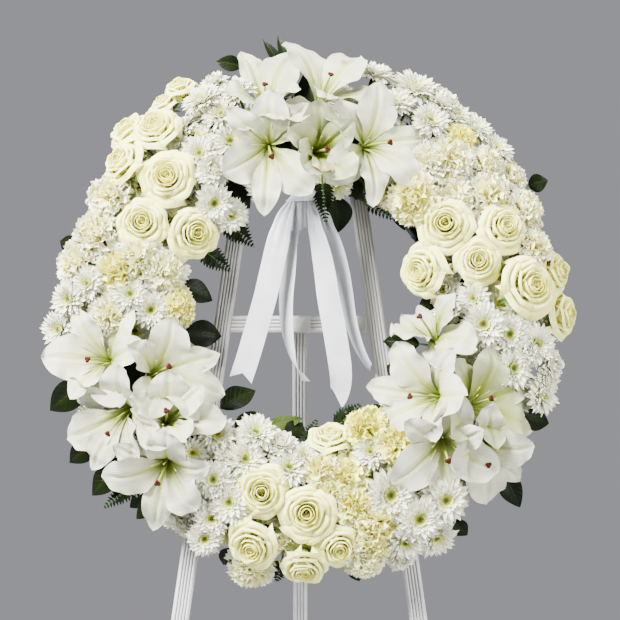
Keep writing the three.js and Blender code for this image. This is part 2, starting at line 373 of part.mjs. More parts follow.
// ---- ribbon ----
// tails hang plumb from the knot, so they drift back in the leaned frame
const hang = (z, y0) => y0 + (130 - z) * Math.tan(LEAN * RAD);
function tail(outline, y0) {
  // outline: rows [z, xLeft, xRight] from top to bottom
  const s = new THREE.Shape();
  outline.forEach(([z, xl], i) => (i ? s.lineTo(xl, z) : s.moveTo(xl, z)));
  [...outline].reverse().forEach(([z, , xr]) => s.lineTo(xr, z));
  s.closePath();
  const g = new THREE.ExtrudeGeometry(s, { depth: RIBBON_T, bevelEnabled: false });
  g.rotateX(Math.PI / 2);
  const p = g.attributes.position;
  for (let i = 0; i < p.count; i++) {
    const z = p.getZ(i);
    p.setXYZ(i, p.getX(i), hang(z, y0) + p.getY(i), z);
  }
  return solid(g, new THREE.Matrix4());
}

// ---- plants ----
const CORE = mid;              // stems run towards the middle of the foam
function anchor(at) {
  const rho = Math.hypot(at[0], at[2]);
  const r = Math.min(FOAM_OUTER - 12, Math.max(FOAM_INNER + 12, 0.55 * CORE + 0.45 * rho));
  return [(at[0] / rho) * r, -FOAM_DEPTH + 14, (at[2] / rho) * r];
}
const back = (at, face, d) => { const f = V(face).normalize(); return [at[0] - f.x * d, at[1] - f.y * d, at[2] - f.z * d]; };

// a lily head as one closed star: throat cone, six bent petals with a ridge
function lilyStar(petals, grow = 0) {
  const v = [], f = [];
  const add = (r, az, z) => v.push(r * Math.cos(az), r * Math.sin(az), z) / 3 - 1;
  const n = petals.length;
  const az = petals.map((q) => q[0] * RAD);
  const gapAfter = az.map((a, i) => (((az[(i + 1) % n] - a) / (2 * Math.PI)) % 1 + 1) % 1 * 2 * Math.PI);
  const base = az.map((a, i) => {
    const m = a + gapAfter[i] / 2;
    return [add(11 + grow, m, 3 + grow), add(11 + grow, m, -4 - grow)];
  });
  const crown = add(0, 0, 5 + grow), root = add(0, 0, -20 - grow);
  petals.forEach(([, open, len], i) => {
    const prev = base[(i + n - 1) % n], next = base[i];
    const lift = Math.min(open, 80) * RAD;
    const so = Math.sin(lift), co = Math.cos(lift);
    const r = 0.52 * len * so, z = 0.6 * len * co + 0.15 * len;
    const room = Math.min(gapAfter[i], gapAfter[(i + n - 1) % n]) / 2;
    const h = Math.min(i % 2 ? 17 : 22, r * Math.tan(Math.min(room, 1.1)) * 0.8);
    const side = (s) => { const a = Math.atan2(s * (h + grow), r); return add(Math.hypot(r, h + grow), az[i] + a, z + (i % 2 ? -1.5 : 2)); };
    const L = side(-1), R = side(1);
    const T = add(r, az[i], z + 1.6 + grow), B = add(r, az[i], z - 2.6 - grow);
    const tip = add(len * so + grow, az[i], len * co);
    const [tp, bp] = prev, [tn, bn] = next;
    f.push(crown, tp, tn, root, bn, bp);
    f.push(tp, L, T, tp, T, tn, tn, T, R);
    f.push(bp, B, L, bp, bn, B, bn, R, B);
    f.push(tp, bp, L, tn, R, bn);
    f.push(T, L, tip, R, T, tip, L, B, tip, B, R, tip);
  });
  const g = new THREE.BufferGeometry();
  g.setAttribute("position", new THREE.BufferAttribute(Float32Array.from(v), 3));
  g.setIndex(f);
  return g;
}

// frame with +Z along the facing direction and +Y as near to up as it goes
function facingFrame(at, face) {
  const a = V(face).normalize();
  const up = new THREE.Vector3(0, 0, 1);
  const b2 = up.clone().addScaledVector(a, -up.dot(a)).normalize();
  const b1 = new THREE.Vector3().crossVectors(b2, a);
  return new THREE.Matrix4().makeBasis(b1, b2, a).setPosition(at[0], at[1], at[2]);
}

const lilyHead = (l, grow = 0) => solid(lilyStar(l.petals, grow), facingFrame(l.at, l.face));

const PROFILES = {
  rose: (r, g) => [[0, -0.8 * r - g], [r + g, 0.1 * r], [0.72 * r + g, 0.5 * r + g], [0, 0.58 * r + g]],
  carnation: (r, g) => [[0, -0.8 * r - g], [r + g, 0.15 * r], [0, 0.62 * r + g]],
  mum: (r, g) => [[0, -0.4 * r - g], [r + g, 0.05 * r], [0, 0.4 * r + g]],
};
const SIDES = { rose: 7, carnation: 6, mum: 6 };
const DEPTH = { rose: 0.7, carnation: 0.7, mum: 0.3 };
function head(kind, [at, face, r], g = 0) {
  return solid(latheZ(PROFILES[kind](r, g), SIDES[kind]), facingFrame(at, face));
}
const stem = (at, face, d, r) => rod(back(at, face, d), anchor(at), r, 4);

const plants = [];
LILIES.forEach((l, i) => plants.push({
  name: "lily_" + String(i + 1).padStart(2, "0"), material: petalWhite,
  head: lilyHead(l), grownHead: lilyHead(l, GAP + 0.45),
  stem: stem(l.at, l.face, 15, 3), grownStem: stem(l.at, l.face, 15, 3 + GAP + 0.2),
}));
ROSES.forEach((h, i) => plants.push({
  name: "rose_" + String(i + 1).padStart(2, "0"), material: roseCream,
  head: head("rose", h), grownHead: head("rose", h, GAP + 0.25),
  stem: stem(h[0], h[1], 0.6 * h[2], 2.6), grownStem: stem(h[0], h[1], 0.6 * h[2], 2.6 + GAP + 0.2),
}));
const MATERIAL = { rose: roseCream, carnation: carnationCream, mum: mumWhite };
for (const [name, { kind, heads }] of Object.entries(SPRAYS)) {
  const solids = heads.map((h) => head(kind, h));
  const grown = heads.map((h) => head(kind, h, GAP + 0.25));
  // branches join each head to its nearest neighbour among those already joined
  const under = heads.map((h) => back(h[0], h[1], (kind === "mum" ? 0.2 : 0.45) * h[2]));
  const joined = [0];
  while (joined.length < heads.length) {
    let best = null;
    for (const i of joined) for (let j = 0; j < heads.length; j++) {
      if (joined.includes(j)) continue;
      const d = V(under[i]).distanceTo(V(under[j]));
      if (!best || d < best.d) best = { i, j, d };
    }
    solids.push(rod(under[best.i], under[best.j], 2.6, 4));
    grown.push(rod(under[best.i], under[best.j], 2.6 + GAP + 0.2, 4));
    joined.push(best.j);
  }
  const h = heads[Math.floor(heads.length / 2)];
  plants.push({
    name, material: MATERIAL[kind], head: unite(solids), grownHead: unite(grown),
    stem: stem(h[0], h[1], DEPTH[kind] * h[2] * 0.8, 2.6), grownStem: stem(h[0], h[1], DEPTH[kind] * h[2] * 0.8, 2.6 + GAP + 0.2),
  });
}

// foliage: leaves wired to a hoop outside the tray and a hoop inside it
function leaf([base, tip, w, kind], grow = 0) {
  const d = V(tip).sub(V(base));
  const len = d.length();
  const g = new THREE.SphereGeometry(1, 4, 2);
  const p = g.attributes.position;
  for (let i = 0; i < p.count; i++) {
    const s = (1 - p.getY(i)) / 2;
    p.setXYZ(i, p.getX(i) * (w + grow), p.getZ(i) * (1.3 + grow), s * (len + grow));
  }
  const z = d.clone().normalize();
  const front = new THREE.Vector3(0, -1, 0);
  const y = front.addScaledVector(z, -front.dot(z)).normalize();
  const x = new THREE.Vector3().crossVectors(y, z);
  return solid(g, new THREE.Matrix4().makeBasis(x, y, z).setPosition(V(base)));
}
function hoop(r, depth, tube, sides) {
  const pts = [];
  for (let i = 0; i < 3; i++) pts.push([r + tube * Math.cos(i * 2 * Math.PI / 3), depth + tube * Math.sin(i * 2 * Math.PI / 3)]);
  return ring(pts, sides);
}
const HOOPS = { foliage_outer: [FOAM_OUTER + TRAY_WALL + 10, 12, 18], foliage_inner: [FOAM_INNER - TRAY_WALL - 8, 12, 16] };
const isOuter = (l) => Math.hypot(l[0][0], l[0][2]) > CORE;

// obstacles that are there before the plants
put("ring_tray", traySolid.subtract(hookSolid(HOOK_R + GAP)), trayPlastic(), null);
const ribbonParts = [
  ["ribbon_tail_1", tail([[120, -52, -38], [60, -58, -36], [0, -64.5, -40.5], [-40, -75, -50], [-76, -88, -63]], -64)],
  ["ribbon_tail_2", tail([[118, -32, -16], [30, -31, -14.5], [-18, -28, -15], [-60, -15, -6], [-82, -2, 5]], -62)],
  ["ribbon_tail_3", tail([[116, -8, 18], [64, 4, 32], [0, 15, 44], [-70, 28, 54], [-96, 40, 54], [-108, 28, 40]], -64)],
  ["ribbon_tail_4", tail([[118, 26, 40], [64, 39, 52], [0, 47.5, 61], [-36, 56, 70], [-66, 77, 86], [-72, 82, 88]], -58)],
];
ribbonParts.forEach(([n, m]) => put(n, m, satin(), m));
{
  const g = new THREE.SphereGeometry(1, 8, 6);
  g.scale(36, 9, 12);
  const pick = rod([0, -62, 136], [0, -FOAM_DEPTH + 12, FOAM_INNER + 18], 2, 4);
  const knot = solid(g, new THREE.Matrix4().makeTranslation(2, -65, 135)).add(pick);
  put("ribbon_knot", knot, satin(), solid(g.clone().scale(1.04, 1.08, 1.06), new THREE.Matrix4().makeTranslation(2, -65, 135)).add(rod([0, -62, 136], [0, -FOAM_DEPTH + 12, FOAM_INNER + 18], 2.5, 4)));
}

const o2 = half + TRAY_WALL + GAP + 0.5;
const trayKeep = ring([[mid - o2, 0.4], [mid + o2, 0.4], [mid + o2, TRAY_DEPTH + 0.5], [mid - o2, TRAY_DEPTH + 0.5]], 24);
const foamKeep = ring([[FOAM_INNER - 0.5, 1], [FOAM_OUTER + 0.5, 1], [FOAM_OUTER + 0.5, FOAM_DEPTH + 0.4], [FOAM_INNER - 0.5, FOAM_DEPTH + 0.4]], 24);
const behind = box(-400, 400, -0.4, 30, -1200, 400);
const lugKeep = box(lugX - 13.4, lugX + 13.4, -3.4, 1, FOAM_OUTER - 4, HOOK_Z + 9.4).add(hookSolid(HOOK_R + 0.5));
const fixed = unite([...taken, trayKeep, behind, lugKeep]);
const wholes = [];
const nudges = [[0.3, 0, 0], [-0.3, 0, 0], [0, 0.3, 0], [0, -0.3, 0], [0, 0, 0.3], [0, 0, -0.3]];
// cut a piece back, with clearance, from those already placed that it still meets
function clearOf(m, others) {
  for (const o of others) {
    if (m.intersect(o).volume() < 0.002) continue;
    for (const n of nudges) m = largest(m.subtract(o.translate(n)));
    for (let k = 0; k < 4 && m.intersect(o).volume() > 1e-4; k++) m = largest(m.subtract(o));
  }
  return m;
}
const doneHeads = [];
const doneStems = [];
plants.forEach((pl, i) => {
  let stemSolid = pl.stem;
  for (let j = 0; j < i; j++) stemSolid = stemSolid.subtract(plants[j].grownStem);
  let body = pl.head.subtract(fixed).subtract(foamKeep);
  plants.forEach((o, j) => { if (j !== i) body = body.subtract(o.grownStem); });
  for (const g of doneHeads) body = body.subtract(g);
  stemSolid = stemSolid.subtract(fixed);
  const whole = clearOf(largest(body.add(stemSolid)).simplify(0.06), wholes);
  wholes.push(whole);
  doneHeads.push(pl.grownHead);
  doneStems.push(pl.grownStem);
  put(pl.name, whole, pl.material());
});

const allGrown = unite([...doneHeads, ...doneStems, ...taken]);
for (const [name, [r, d, n]] of Object.entries(HOOPS)) {
  const outer = name === "foliage_outer";
  const parts = [hoop(r, d, 2.4, n)];
  for (const l of LEAVES) {
    if (isOuter(l) !== outer || l[2] < 9) continue;
    parts.push(leaf(l));
    const rho = Math.hypot(l[0][0], l[0][2]);
    parts.push(rod(l[0], [(l[0][0] / rho) * r, -d, (l[0][2] / rho) * r], 1.6, 3));
  }
  let m = unite(parts).subtract(allGrown).subtract(behind).subtract(trayKeep).subtract(foamKeep).subtract(lugKeep);
  m = clearOf(largest(m).simplify(0.06), wholes);
  wholes.push(m);
  put(name, m, leafGreen());
}
let foam = foamSolid;
for (const g of doneStems) foam = foam.subtract(g);
foam = foam.subtract(rod([0, -62, 136], [0, -FOAM_DEPTH + 12, FOAM_INNER + 18], 2.5, 4));
put("foam_ring", clearOf(largest(foam).simplify(0.06), wholes), foamGreen());

export default root;
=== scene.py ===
import math
import bpy
import numpy as np
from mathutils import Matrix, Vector


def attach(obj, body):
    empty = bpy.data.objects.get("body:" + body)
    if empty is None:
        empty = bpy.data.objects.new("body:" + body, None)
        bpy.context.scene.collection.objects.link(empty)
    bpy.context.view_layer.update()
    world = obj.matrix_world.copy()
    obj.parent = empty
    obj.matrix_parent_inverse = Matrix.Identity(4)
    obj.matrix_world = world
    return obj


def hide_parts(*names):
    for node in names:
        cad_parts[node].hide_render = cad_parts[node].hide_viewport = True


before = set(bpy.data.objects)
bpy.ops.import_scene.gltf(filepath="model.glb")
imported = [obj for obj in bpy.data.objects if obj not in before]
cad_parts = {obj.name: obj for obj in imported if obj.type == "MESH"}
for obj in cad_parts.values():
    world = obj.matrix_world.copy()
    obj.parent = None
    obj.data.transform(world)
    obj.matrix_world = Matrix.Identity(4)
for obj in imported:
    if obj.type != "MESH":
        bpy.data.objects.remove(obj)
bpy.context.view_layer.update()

# ---------------------------------------------------------------- camera
# level with the ring's centre, looking along +Y
cam_data = bpy.data.cameras.new("camera")
cam_data.lens = 111.29
cam_data.sensor_width = 36.0
cam_data.clip_start, cam_data.clip_end = 0.05, 60.0
cam = bpy.data.objects.new("camera", cam_data)
cam.location = (-0.00454, -2.4971, 1.07956)
cam.rotation_euler = (math.pi / 2, 0, 0)
bpy.context.scene.collection.objects.link(cam)
bpy.context.scene.camera = cam

# ---------------------------------------------------------------- sizes (mm)
LEAN = math.radians(10.0)
CT, ST = math.cos(LEAN), math.sin(LEAN)
CX, BY, CZ = -10.54, -113.43, 1060.0
FOAM_OUTER, FOAM_INNER, FOAM_DEPTH = 248.0, 178.0, 45.0
CORE = (FOAM_OUTER + FOAM_INNER) / 2
EASEL_X = -7.0
SLAT_W, SLAT_T = 21.0, 12.0
LEG_HALF_AT_0, LEG_SPLAY, LEG_TOP = 96.1, 0.1345, 292.0
BAR_LOW, BAR_HIGH, BAR_T = -7.3, 13.0, 10.0
TOP_BLOCK_LOW = 254.0
REAR_W, REAR_T, REAR_ANGLE, REAR_HEAD = 18.5, 12.0, 30.0, 10.0
PIVOT_Y, PIVOT_Z = 22.5, 1.0
LEG_FACE = 0.3

FRONT = "wreath_and_front_frame"
REAR = "rear_leg"


# ---------------------------------------------------------------- where things are (ring frame, mm)
# lily petals: angle round the face, opening angle, length
LILIES = [
  {'at': [-43.8, -91.8, 206.1], 'face': [0.023, -0.919, -0.394], 'petals': [[203, 61, 70], [267, 55, 91], [314, 58, 83], [49, 79, 70], [92, 78, 70], [134, 74, 70]] },
  {'at': [71.9, -82.0, 207.4], 'face': [0.491, -0.871, 0.0], 'petals': [[218, 93, 70], [275, 74, 78], [315, 56, 79], [13, 73, 86], [85, 74, 80], [128, 77, 70]] },
  {'at': [15.8, -76.0, 260.9], 'face': [0.322, -0.6, 0.732], 'petals': [[213, 95, 70], [251, 56, 70], [289, 94, 70], [348, 66, 86], [39, 49, 86], [108, 62, 92]] },
  {'at': [-49.4, -67.3, 249.4], 'face': [0.062, -0.718, 0.693], 'petals': [[201, 50, 70], [240, 73, 70], [287, 62, 70], [329, 38, 70], [64, 56, 92], [106, 58, 94]] },
  {'at': [9.7, -79.0, 200.6], 'face': [0.363, -0.928, -0.088], 'petals': [[216, 38, 70], [254, 27, 66], [311, 41, 70], [46, 38, 70], [97, 57, 70], [154, 45, 70]] },
  {'at': [-233.8, -77.1, -57.0], 'face': [-0.421, -0.903, 0.085], 'petals': [[182, 54, 80], [244, 53, 70], [294, 71, 70], [6, 65, 70], [67, 83, 75], [117, 62, 76]] },
  {'at': [-182.7, -82.6, -73.6], 'face': [0.542, -0.831, 0.127], 'petals': [[248, 69, 70], [301, 58, 83], [339, 71, 88], [17, 68, 86], [78, 62, 71], [153, 51, 70]] },
  {'at': [-206.7, -87.5, -113.8], 'face': [-0.587, -0.6, -0.543], 'petals': [[186, 51, 84], [229, 50, 87], [305, 51, 70], [344, 65, 70], [64, 77, 70], [123, 66, 80]] },
  {'at': [-166.6, -79.8, -132.0], 'face': [0.163, -0.942, 0.294], 'petals': [[243, 53, 70], [298, 39, 70], [355, 68, 75], [33, 42, 70], [93, 38, 70], [166, 38, 70]] },
  {'at': [-162.4, -81.3, -175.1], 'face': [-0.096, -0.808, -0.581], 'petals': [[186, 66, 79], [253, 66, 85], [309, 52, 71], [14, 53, 70], [82, 58, 70], [148, 68, 70]] },
  {'at': [156.9, -65.8, -29.7], 'face': [-0.333, -0.804, 0.493], 'petals': [[229, 38, 70], [293, 70, 70], [336, 74, 70], [40, 40, 70], [98, 90, 70], [136, 92, 70]] },
  {'at': [160.6, -87.6, -100.7], 'face': [-0.687, -0.727, 0.0], 'petals': [[211, 63, 77], [287, 57, 70], [354, 64, 70], [53, 66, 70], [112, 56, 82], [170, 59, 90]] },
  {'at': [190.5, -84.0, -112.2], 'face': [0.627, -0.765, 0.147], 'petals': [[224, 70, 70], [275, 55, 70], [337, 67, 86], [16, 62, 84], [74, 55, 76], [130, 60, 70]] },
  {'at': [162.5, -86.0, -149.4], 'face': [0.015, -0.867, -0.499], 'petals': [[211, 62, 82], [275, 72, 83], [337, 64, 77], [35, 45, 70], [73, 70, 70], [144, 56, 70]] },
  {'at': [208.9, -70.8, -150.2], 'face': [0.117, -0.831, -0.544], 'petals': [[180, 39, 70], [245, 71, 83], [283, 68, 75], [321, 77, 70], [12, 52, 70], [85, 61, 70]] },
]
ROSES = [
  [[-182.6, -64.1, 232.3], [-0.26, -0.85, 0.46], 32.5],
  [[-221.5, -73.4, 187.0], [-0.635, -0.675, 0.377], 30.3],
  [[-166.2, -89.4, 166.7], [-0.083, -0.993, 0.083], 33.8],
  [[-196.8, -89.9, 109.4], [-0.03, -0.999, 0.017], 31.4],
  [[-135.7, -81.4, 100.2], [0.427, -0.871, -0.244], 32.6],
  [[170.3, -88.9, 108.4], [-0.132, -0.988, -0.084], 33.8],
  [[238.1, -85.6, 103.0], [0.375, -0.919, 0.12], 31.4],
  [[145.1, -75.4, 55.7], [-0.7, -0.697, -0.158], 32.6],
  [[208.1, -90.0, 62.6], [-0.029, -1.0, -0.009], 29.1],
  [[267.3, -82.8, 33.4], [0.471, -0.881, 0.047], 37.2],
  [[-50.5, -90.0, -214.9], [0.0, -1.0, 0.002], 32.6],
  [[2.5, -89.1, -238.3], [0.001, -0.99, -0.141], 33.8],
  [[-60.0, -78.9, -272.9], [-0.304, -0.76, -0.574], 32.6],
  [[39.1, -73.7, -274.9], [0.156, -0.836, -0.526], 27.9],
  [[-1.1, -67.2, -298.1], [-0.002, -0.568, -0.823], 29.1],
  [[29.9, -67.8, -149.9], [-0.084, -0.639, 0.765], 26.8],
]
SPRAYS = {
  'spray_rose_top_left': {'kind': 'rose', 'heads': [[[-218.0, -40.0, 237.8], [-0.585, -0.525, 0.618], 25.6], [[-157.0, -32.0, 296.9], [-0.275, -0.579, 0.767], 18.6], [[-175.6, -32.0, 274.9], [-0.455, -0.547, 0.702], 18.6]] },
  'spray_rose_right': {'kind': 'rose', 'heads': [[[311.9, -40.0, 6.6], [0.882, -0.471, 0.01], 27.9], [[304.5, -40.0, 60.2], [0.813, -0.571, 0.112], 25.6]] },
  'carnations_left': {'kind': 'carnation', 'heads': [[[-240.2, -75.1, 148.9], [-0.542, -0.758, 0.364], 27.9, 0], [[-254.5, -80.1, 101.7], [-0.446, -0.874, 0.192], 27.9, 0], [[-198.7, -88.2, 63.0], [0.112, -0.986, -0.123], 29.1, 0], [[-278.9, -72.3, 66.2], [-0.67, -0.74, 0.063], 25.6, 0], [[-169.0, -80.8, 52.2], [0.464, -0.869, -0.174], 26.8, 0], [[-225.1, -87.4, 53.3], [-0.054, -0.978, 0.203], 27.9, 1], [[-153.5, -70.8, 13.5], [0.591, -0.795, 0.14], 23.3, 1], [[-233.6, -88.3, -1.8], [-0.009, -1.0, -0.014], 23.3, 0]] },
  'carnations_top_right': {'kind': 'carnation', 'heads': [[[176.5, -83.8, 190.6], [0.132, -0.956, 0.261], 29.1, 0], [[220.5, -68.2, 188.3], [0.392, -0.777, 0.492], 25.6, 0], [[253.6, -43.2, 182.0], [0.613, -0.585, 0.531], 23.3, 0], [[133.3, -86.5, 140.0], [-0.297, -0.93, -0.215], 31.4, 3], [[188.1, -84.1, 146.8], [0.107, -0.99, 0.094], 23.3, 0], [[225.0, -78.6, 148.1], [0.362, -0.901, 0.237], 29.1, 0], [[269.4, -60.0, 133.7], [0.697, -0.655, 0.291], 26.8, 0], [[190.4, -67.8, 222.6], [0.401, -0.684, 0.61], 21.0, 2], [[280.0, -66.3, 88.5], [0.565, -0.727, 0.389], 23.3, 0], [[151.9, -86.9, 189.8], [0.101, -0.955, 0.28], 21.0, 0]] },
  'carnations_bottom': {'kind': 'carnation', 'heads': [[[71.7, -71.2, -132.2], [-0.329, -0.796, 0.508], 25.6, 2], [[106.9, -82.3, -157.4], [-0.079, -0.949, 0.304], 25.6, 1], [[47.4, -82.4, -193.0], [-0.102, -0.949, 0.299], 25.6, 1], [[29.6, -85.3, -211.0], [0.014, -0.994, 0.109], 23.3, 3], [[59.1, -83.3, -228.5], [0.167, -0.982, -0.091], 25.6, 1], [[82.7, -79.4, -251.8], [-0.005, -0.957, -0.289], 27.9, 3], [[82.9, -70.9, -274.8], [0.337, -0.824, -0.455], 23.3, 3], [[17.8, -84.2, -187.3], [-0.061, -0.919, 0.389], 23.3, 3], [[71.2, -60.9, -295.5], [0.162, -0.621, -0.767], 21.0, 0]] },
  'carnations_bottom_left': {'kind': 'carnation', 'heads': [[[-65.7, -40.0, -302.9], [-0.147, -0.507, -0.85], 26.0, 0]] },
  'chrysanthemums_top_left': {'kind': 'mum', 'heads': [[[-82.6, -74.4, 277.9], [-0.305, -0.703, 0.643], 20.4], [[-125.9, -68.9, 269.3], [-0.368, -0.722, 0.586], 21.6], [[-101.9, -77.9, 248.9], [-0.31, -0.865, 0.395], 20.4], [[-90.2, -87.3, 212.2], [0.116, -0.962, 0.246], 19.2], [[-128.0, -84.5, 197.9], [-0.156, -0.98, 0.122], 20.4], [[-111.8, -88.7, 176.8], [0.203, -0.969, 0.142], 20.4], [[-110.4, -84.5, 136.7], [0.118, -0.923, -0.365], 20.4], [[-91.3, -74.7, 124.0], [0.353, -0.846, -0.399], 18.0], [[-112.5, -45.9, 296.7], [-0.432, -0.6, 0.673], 16.8]] },
  'chrysanthemums_top_right': {'kind': 'mum', 'heads': [[[87.2, -45.0, 309.9], [0.196, -0.549, 0.813], 19.2], [[137.1, -42.5, 291.2], [0.308, -0.607, 0.733], 26.4], [[111.9, -71.5, 264.7], [0.042, -0.739, 0.672], 19.2], [[168.1, -41.8, 272.0], [0.466, -0.551, 0.692], 24.0], [[153.2, -74.8, 240.9], [0.277, -0.879, 0.388], 20.4], [[186.5, -42.9, 255.0], [0.319, -0.757, 0.571], 20.4], [[210.8, -46.3, 238.6], [0.395, -0.698, 0.597], 20.4], [[235.1, -47.6, 212.7], [0.425, -0.76, 0.492], 19.2]] },
  'chrysanthemums_left': {'kind': 'mum', 'heads': [[[-283.3, -78.0, 18.4], [-0.579, -0.809, -0.101], 20.4], [[-296.4, -63.3, -15.9], [-0.627, -0.769, -0.129], 20.4], [[-261.2, -84.4, 36.8], [-0.419, -0.907, 0.046], 18.0], [[-209.8, -90.7, 22.1], [0.216, -0.95, 0.227], 19.2], [[-186.1, -84.7, 4.9], [0.295, -0.948, -0.123], 19.2]] },
  'chrysanthemums_right': {'kind': 'mum', 'heads': [[[214.0, -91.1, -14.4], [-0.118, -0.992, -0.04], 22.8], [[244.5, -83.6, -24.1], [0.079, -0.983, -0.163], 20.4], [[213.0, -84.4, -42.4], [-0.021, -0.996, -0.085], 18.0], [[202.9, -86.8, 18.0], [-0.324, -0.945, 0.046], 16.8], [[247.7, -80.5, -66.0], [0.421, -0.906, 0.047], 21.6], [[275.9, -79.3, -36.8], [0.448, -0.881, -0.151], 21.6], [[293.1, -62.3, -58.5], [0.677, -0.735, 0.029], 19.2], [[263.4, -82.8, -45.8], [0.296, -0.949, 0.109], 16.8], [[282.8, -61.1, -94.8], [0.724, -0.689, -0.038], 20.4], [[289.2, -61.7, -76.7], [0.699, -0.681, -0.217], 16.8]] },
  'chrysanthemums_bottom_left': {'kind': 'mum', 'heads': [[[-105.7, -82.5, -144.3], [0.166, -0.972, 0.164], 20.4], [[-58.3, -76.9, -143.7], [0.133, -0.853, 0.505], 21.6], [[-71.0, -83.5, -175.3], [0.275, -0.922, 0.274], 21.6], [[-18.9, -81.0, -185.8], [0.202, -0.857, 0.474], 21.6], [[-107.3, -89.0, -199.5], [-0.133, -0.986, -0.1], 20.4], [[-88.2, -89.0, -226.6], [-0.188, -0.979, -0.08], 20.4], [[-109.8, -78.3, -243.5], [-0.029, -0.943, -0.333], 19.2], [[-133.7, -86.6, -167.3], [0.155, -0.986, -0.069], 16.8], [[-118.3, -69.0, -266.4], [-0.096, -0.889, -0.448], 18.0], [[-29.8, -73.3, -156.4], [0.095, -0.879, 0.468], 18.0], [[-91.2, -83.5, -170.6], [0.044, -0.93, 0.366], 16.8], [[-1.1, -76.0, -169.8], [-0.038, -0.891, 0.453], 15.6]] },
  'chrysanthemums_bottom_right': {'kind': 'mum', 'heads': [[[100.5, -83.5, -216.7], [0.152, -0.964, -0.218], 26.4], [[134.7, -79.9, -244.7], [0.117, -0.959, -0.259], 24.0], [[165.9, -75.4, -222.0], [0.166, -0.959, -0.232], 24.0], [[155.2, -50.7, -264.2], [0.426, -0.649, -0.631], 21.6], [[118.5, -67.6, -269.9], [0.104, -0.72, -0.686], 21.6], [[78.4, -80.2, -166.7], [-0.075, -0.935, 0.346], 18.0], [[113.4, -46.5, -286.5], [0.293, -0.755, -0.586], 16.8]] },
}
LEAVES = [
  [[-1.0, -46.0, 240.0], [0.5, -60.0, 314.0], 12.0, 1],
  [[-79.5, -30.0, 326.2], [-112.1, -34.0, 331.5], 9.6, 0],
  [[-25.5, -26.0, 322.2], [-54.5, -30.0, 362.9], 6.0, 1],
  [[-19.2, -24.0, 325.5], [-35.7, -28.0, 367.5], 6.0, 1],
  [[21.1, -24.0, 317.6], [21.1, -28.0, 337.3], 6.0, 0],
  [[80.8, -45.4, 283.9], [97.8, -30.0, 318.4], 8.4, 0],
  [[36.8, -47.8, 155.4], [40.7, -26.0, 111.0], 18.0, 0],
  [[20.8, -70.0, 168.0], [25.5, -82.0, 112.0], 10.8, 3],
  [[62.5, -58.9, 174.2], [62.5, -55.9, 147.2], 8.4, 0],
  [[-94.9, -53.8, 165.4], [-67.9, -47.7, 139.0], 14.4, 0],
  [[-102.1, -53.2, 127.7], [-60.8, -30.0, 92.4], 13.2, 3],
  [[-128.9, -48.5, 88.6], [-89.1, -28.0, 62.6], 12.0, 3],
  [[-152.9, -49.5, 43.4], [-112.3, -28.0, 27.4], 13.2, 0],
  [[-147.9, -40.5, -14.6], [-101.0, -24.0, -16.8], 15.6, 0],
  [[-262.3, -55.0, -75.7], [-313.2, -30.0, -111.6], 16.8, 0],
  [[-249.5, -48.9, -145.4], [-287.4, -30.0, -175.0], 13.2, 0],
  [[-219.8, -51.8, -177.1], [-260.0, -30.0, -213.8], 14.4, 0],
  [[-216.4, -51.7, -162.6], [-251.1, -28.4, -179.7], 10.8, 0],
  [[-197.9, -51.2, -196.2], [-247.8, -28.0, -230.5], 10.8, 3],
  [[-183.5, -49.6, -208.1], [-214.2, -26.0, -227.9], 9.6, 0],
  [[-173.5, -53.2, -218.0], [-206.3, -30.0, -241.5], 9.6, 0],
  [[-103.3, -38.9, -107.8], [-60.2, -22.0, -81.0], 14.4, 0],
  [[-83.0, -53.3, -148.3], [-55.0, -28.0, -108.9], 14.4, 0],
  [[-52.0, -44.4, -132.8], [-1.3, -32.0, -119.2], 8.4, 2],
  [[-23.0, -42.7, -147.2], [-1.3, -26.0, -122.1], 12.0, 0],
  [[-0.0, -51.0, -157.7], [15.7, -30.0, -116.5], 9.6, 3],
  [[37.6, -34.7, -131.7], [69.5, -28.0, -99.1], 12.0, 3],
  [[95.3, -48.7, -130.9], [84.2, -26.0, -98.8], 9.6, 0],
  [[140.3, -38.9, -29.2], [94.4, -26.0, -23.4], 12.0, 0],
  [[127.4, -43.8, -74.2], [99.1, -28.0, -52.2], 12.0, 0],
  [[162.0, -53.3, 22.8], [138.1, -42.9, 14.8], 9.6, 0],
  [[74.8, -53.9, 141.4], [118.5, -60.6, 118.5], 6.0, 3],
  [[110.2, -58.3, 134.1], [122.2, -59.3, 108.8], 7.2, 1],
  [[126.0, -59.9, 128.7], [136.7, -61.9, 104.4], 7.2, 1],
  [[135.7, -59.9, 118.6], [143.9, -61.6, 92.0], 7.2, 1],
  [[254.4, -52.7, -116.8], [299.3, -30.0, -125.1], 14.4, 0],
  [[235.1, -41.3, -183.3], [261.0, -28.0, -228.1], 13.2, 0],
  [[202.8, -53.6, -179.7], [223.8, -28.0, -213.6], 10.8, 0],
  [[-192.2, -46.7, 210.4], [-232.0, -26.0, 246.8], 9.6, 0],
  [[277.8, -24.0, 172.6], [302.4, -28.0, 179.3], 10.8, 0],
  [[275.7, -46.8, 71.4], [327.5, -26.0, 68.0], 10.8, 0],
  [[141.8, -57.4, 222.8], [167.1, -51.1, 239.9], 9.6, 0],
  [[-80.3, -55.6, 191.5], [-99.7, -58.0, 164.3], 9.6, 0],
  [[56.2, -42.5, -291.1], [66.0, -28.0, -316.7], 9.6, 0],
  [[-27.4, -46.9, -291.3], [-34.8, -30.0, -319.1], 9.6, 3],
  [[-87.1, -48.1, -277.1], [-99.7, -30.0, -297.7], 9.6, 0],
  [[176.5, -41.3, -243.4], [196.3, -30.0, -261.9], 9.6, 0],
  [[-294.2, -45.9, 4.3], [-320.7, -30.0, -0.4], 9.6, 0],
  [[-276.2, -48.3, 88.6], [-305.9, -30.0, 102.5], 9.6, 0],
]
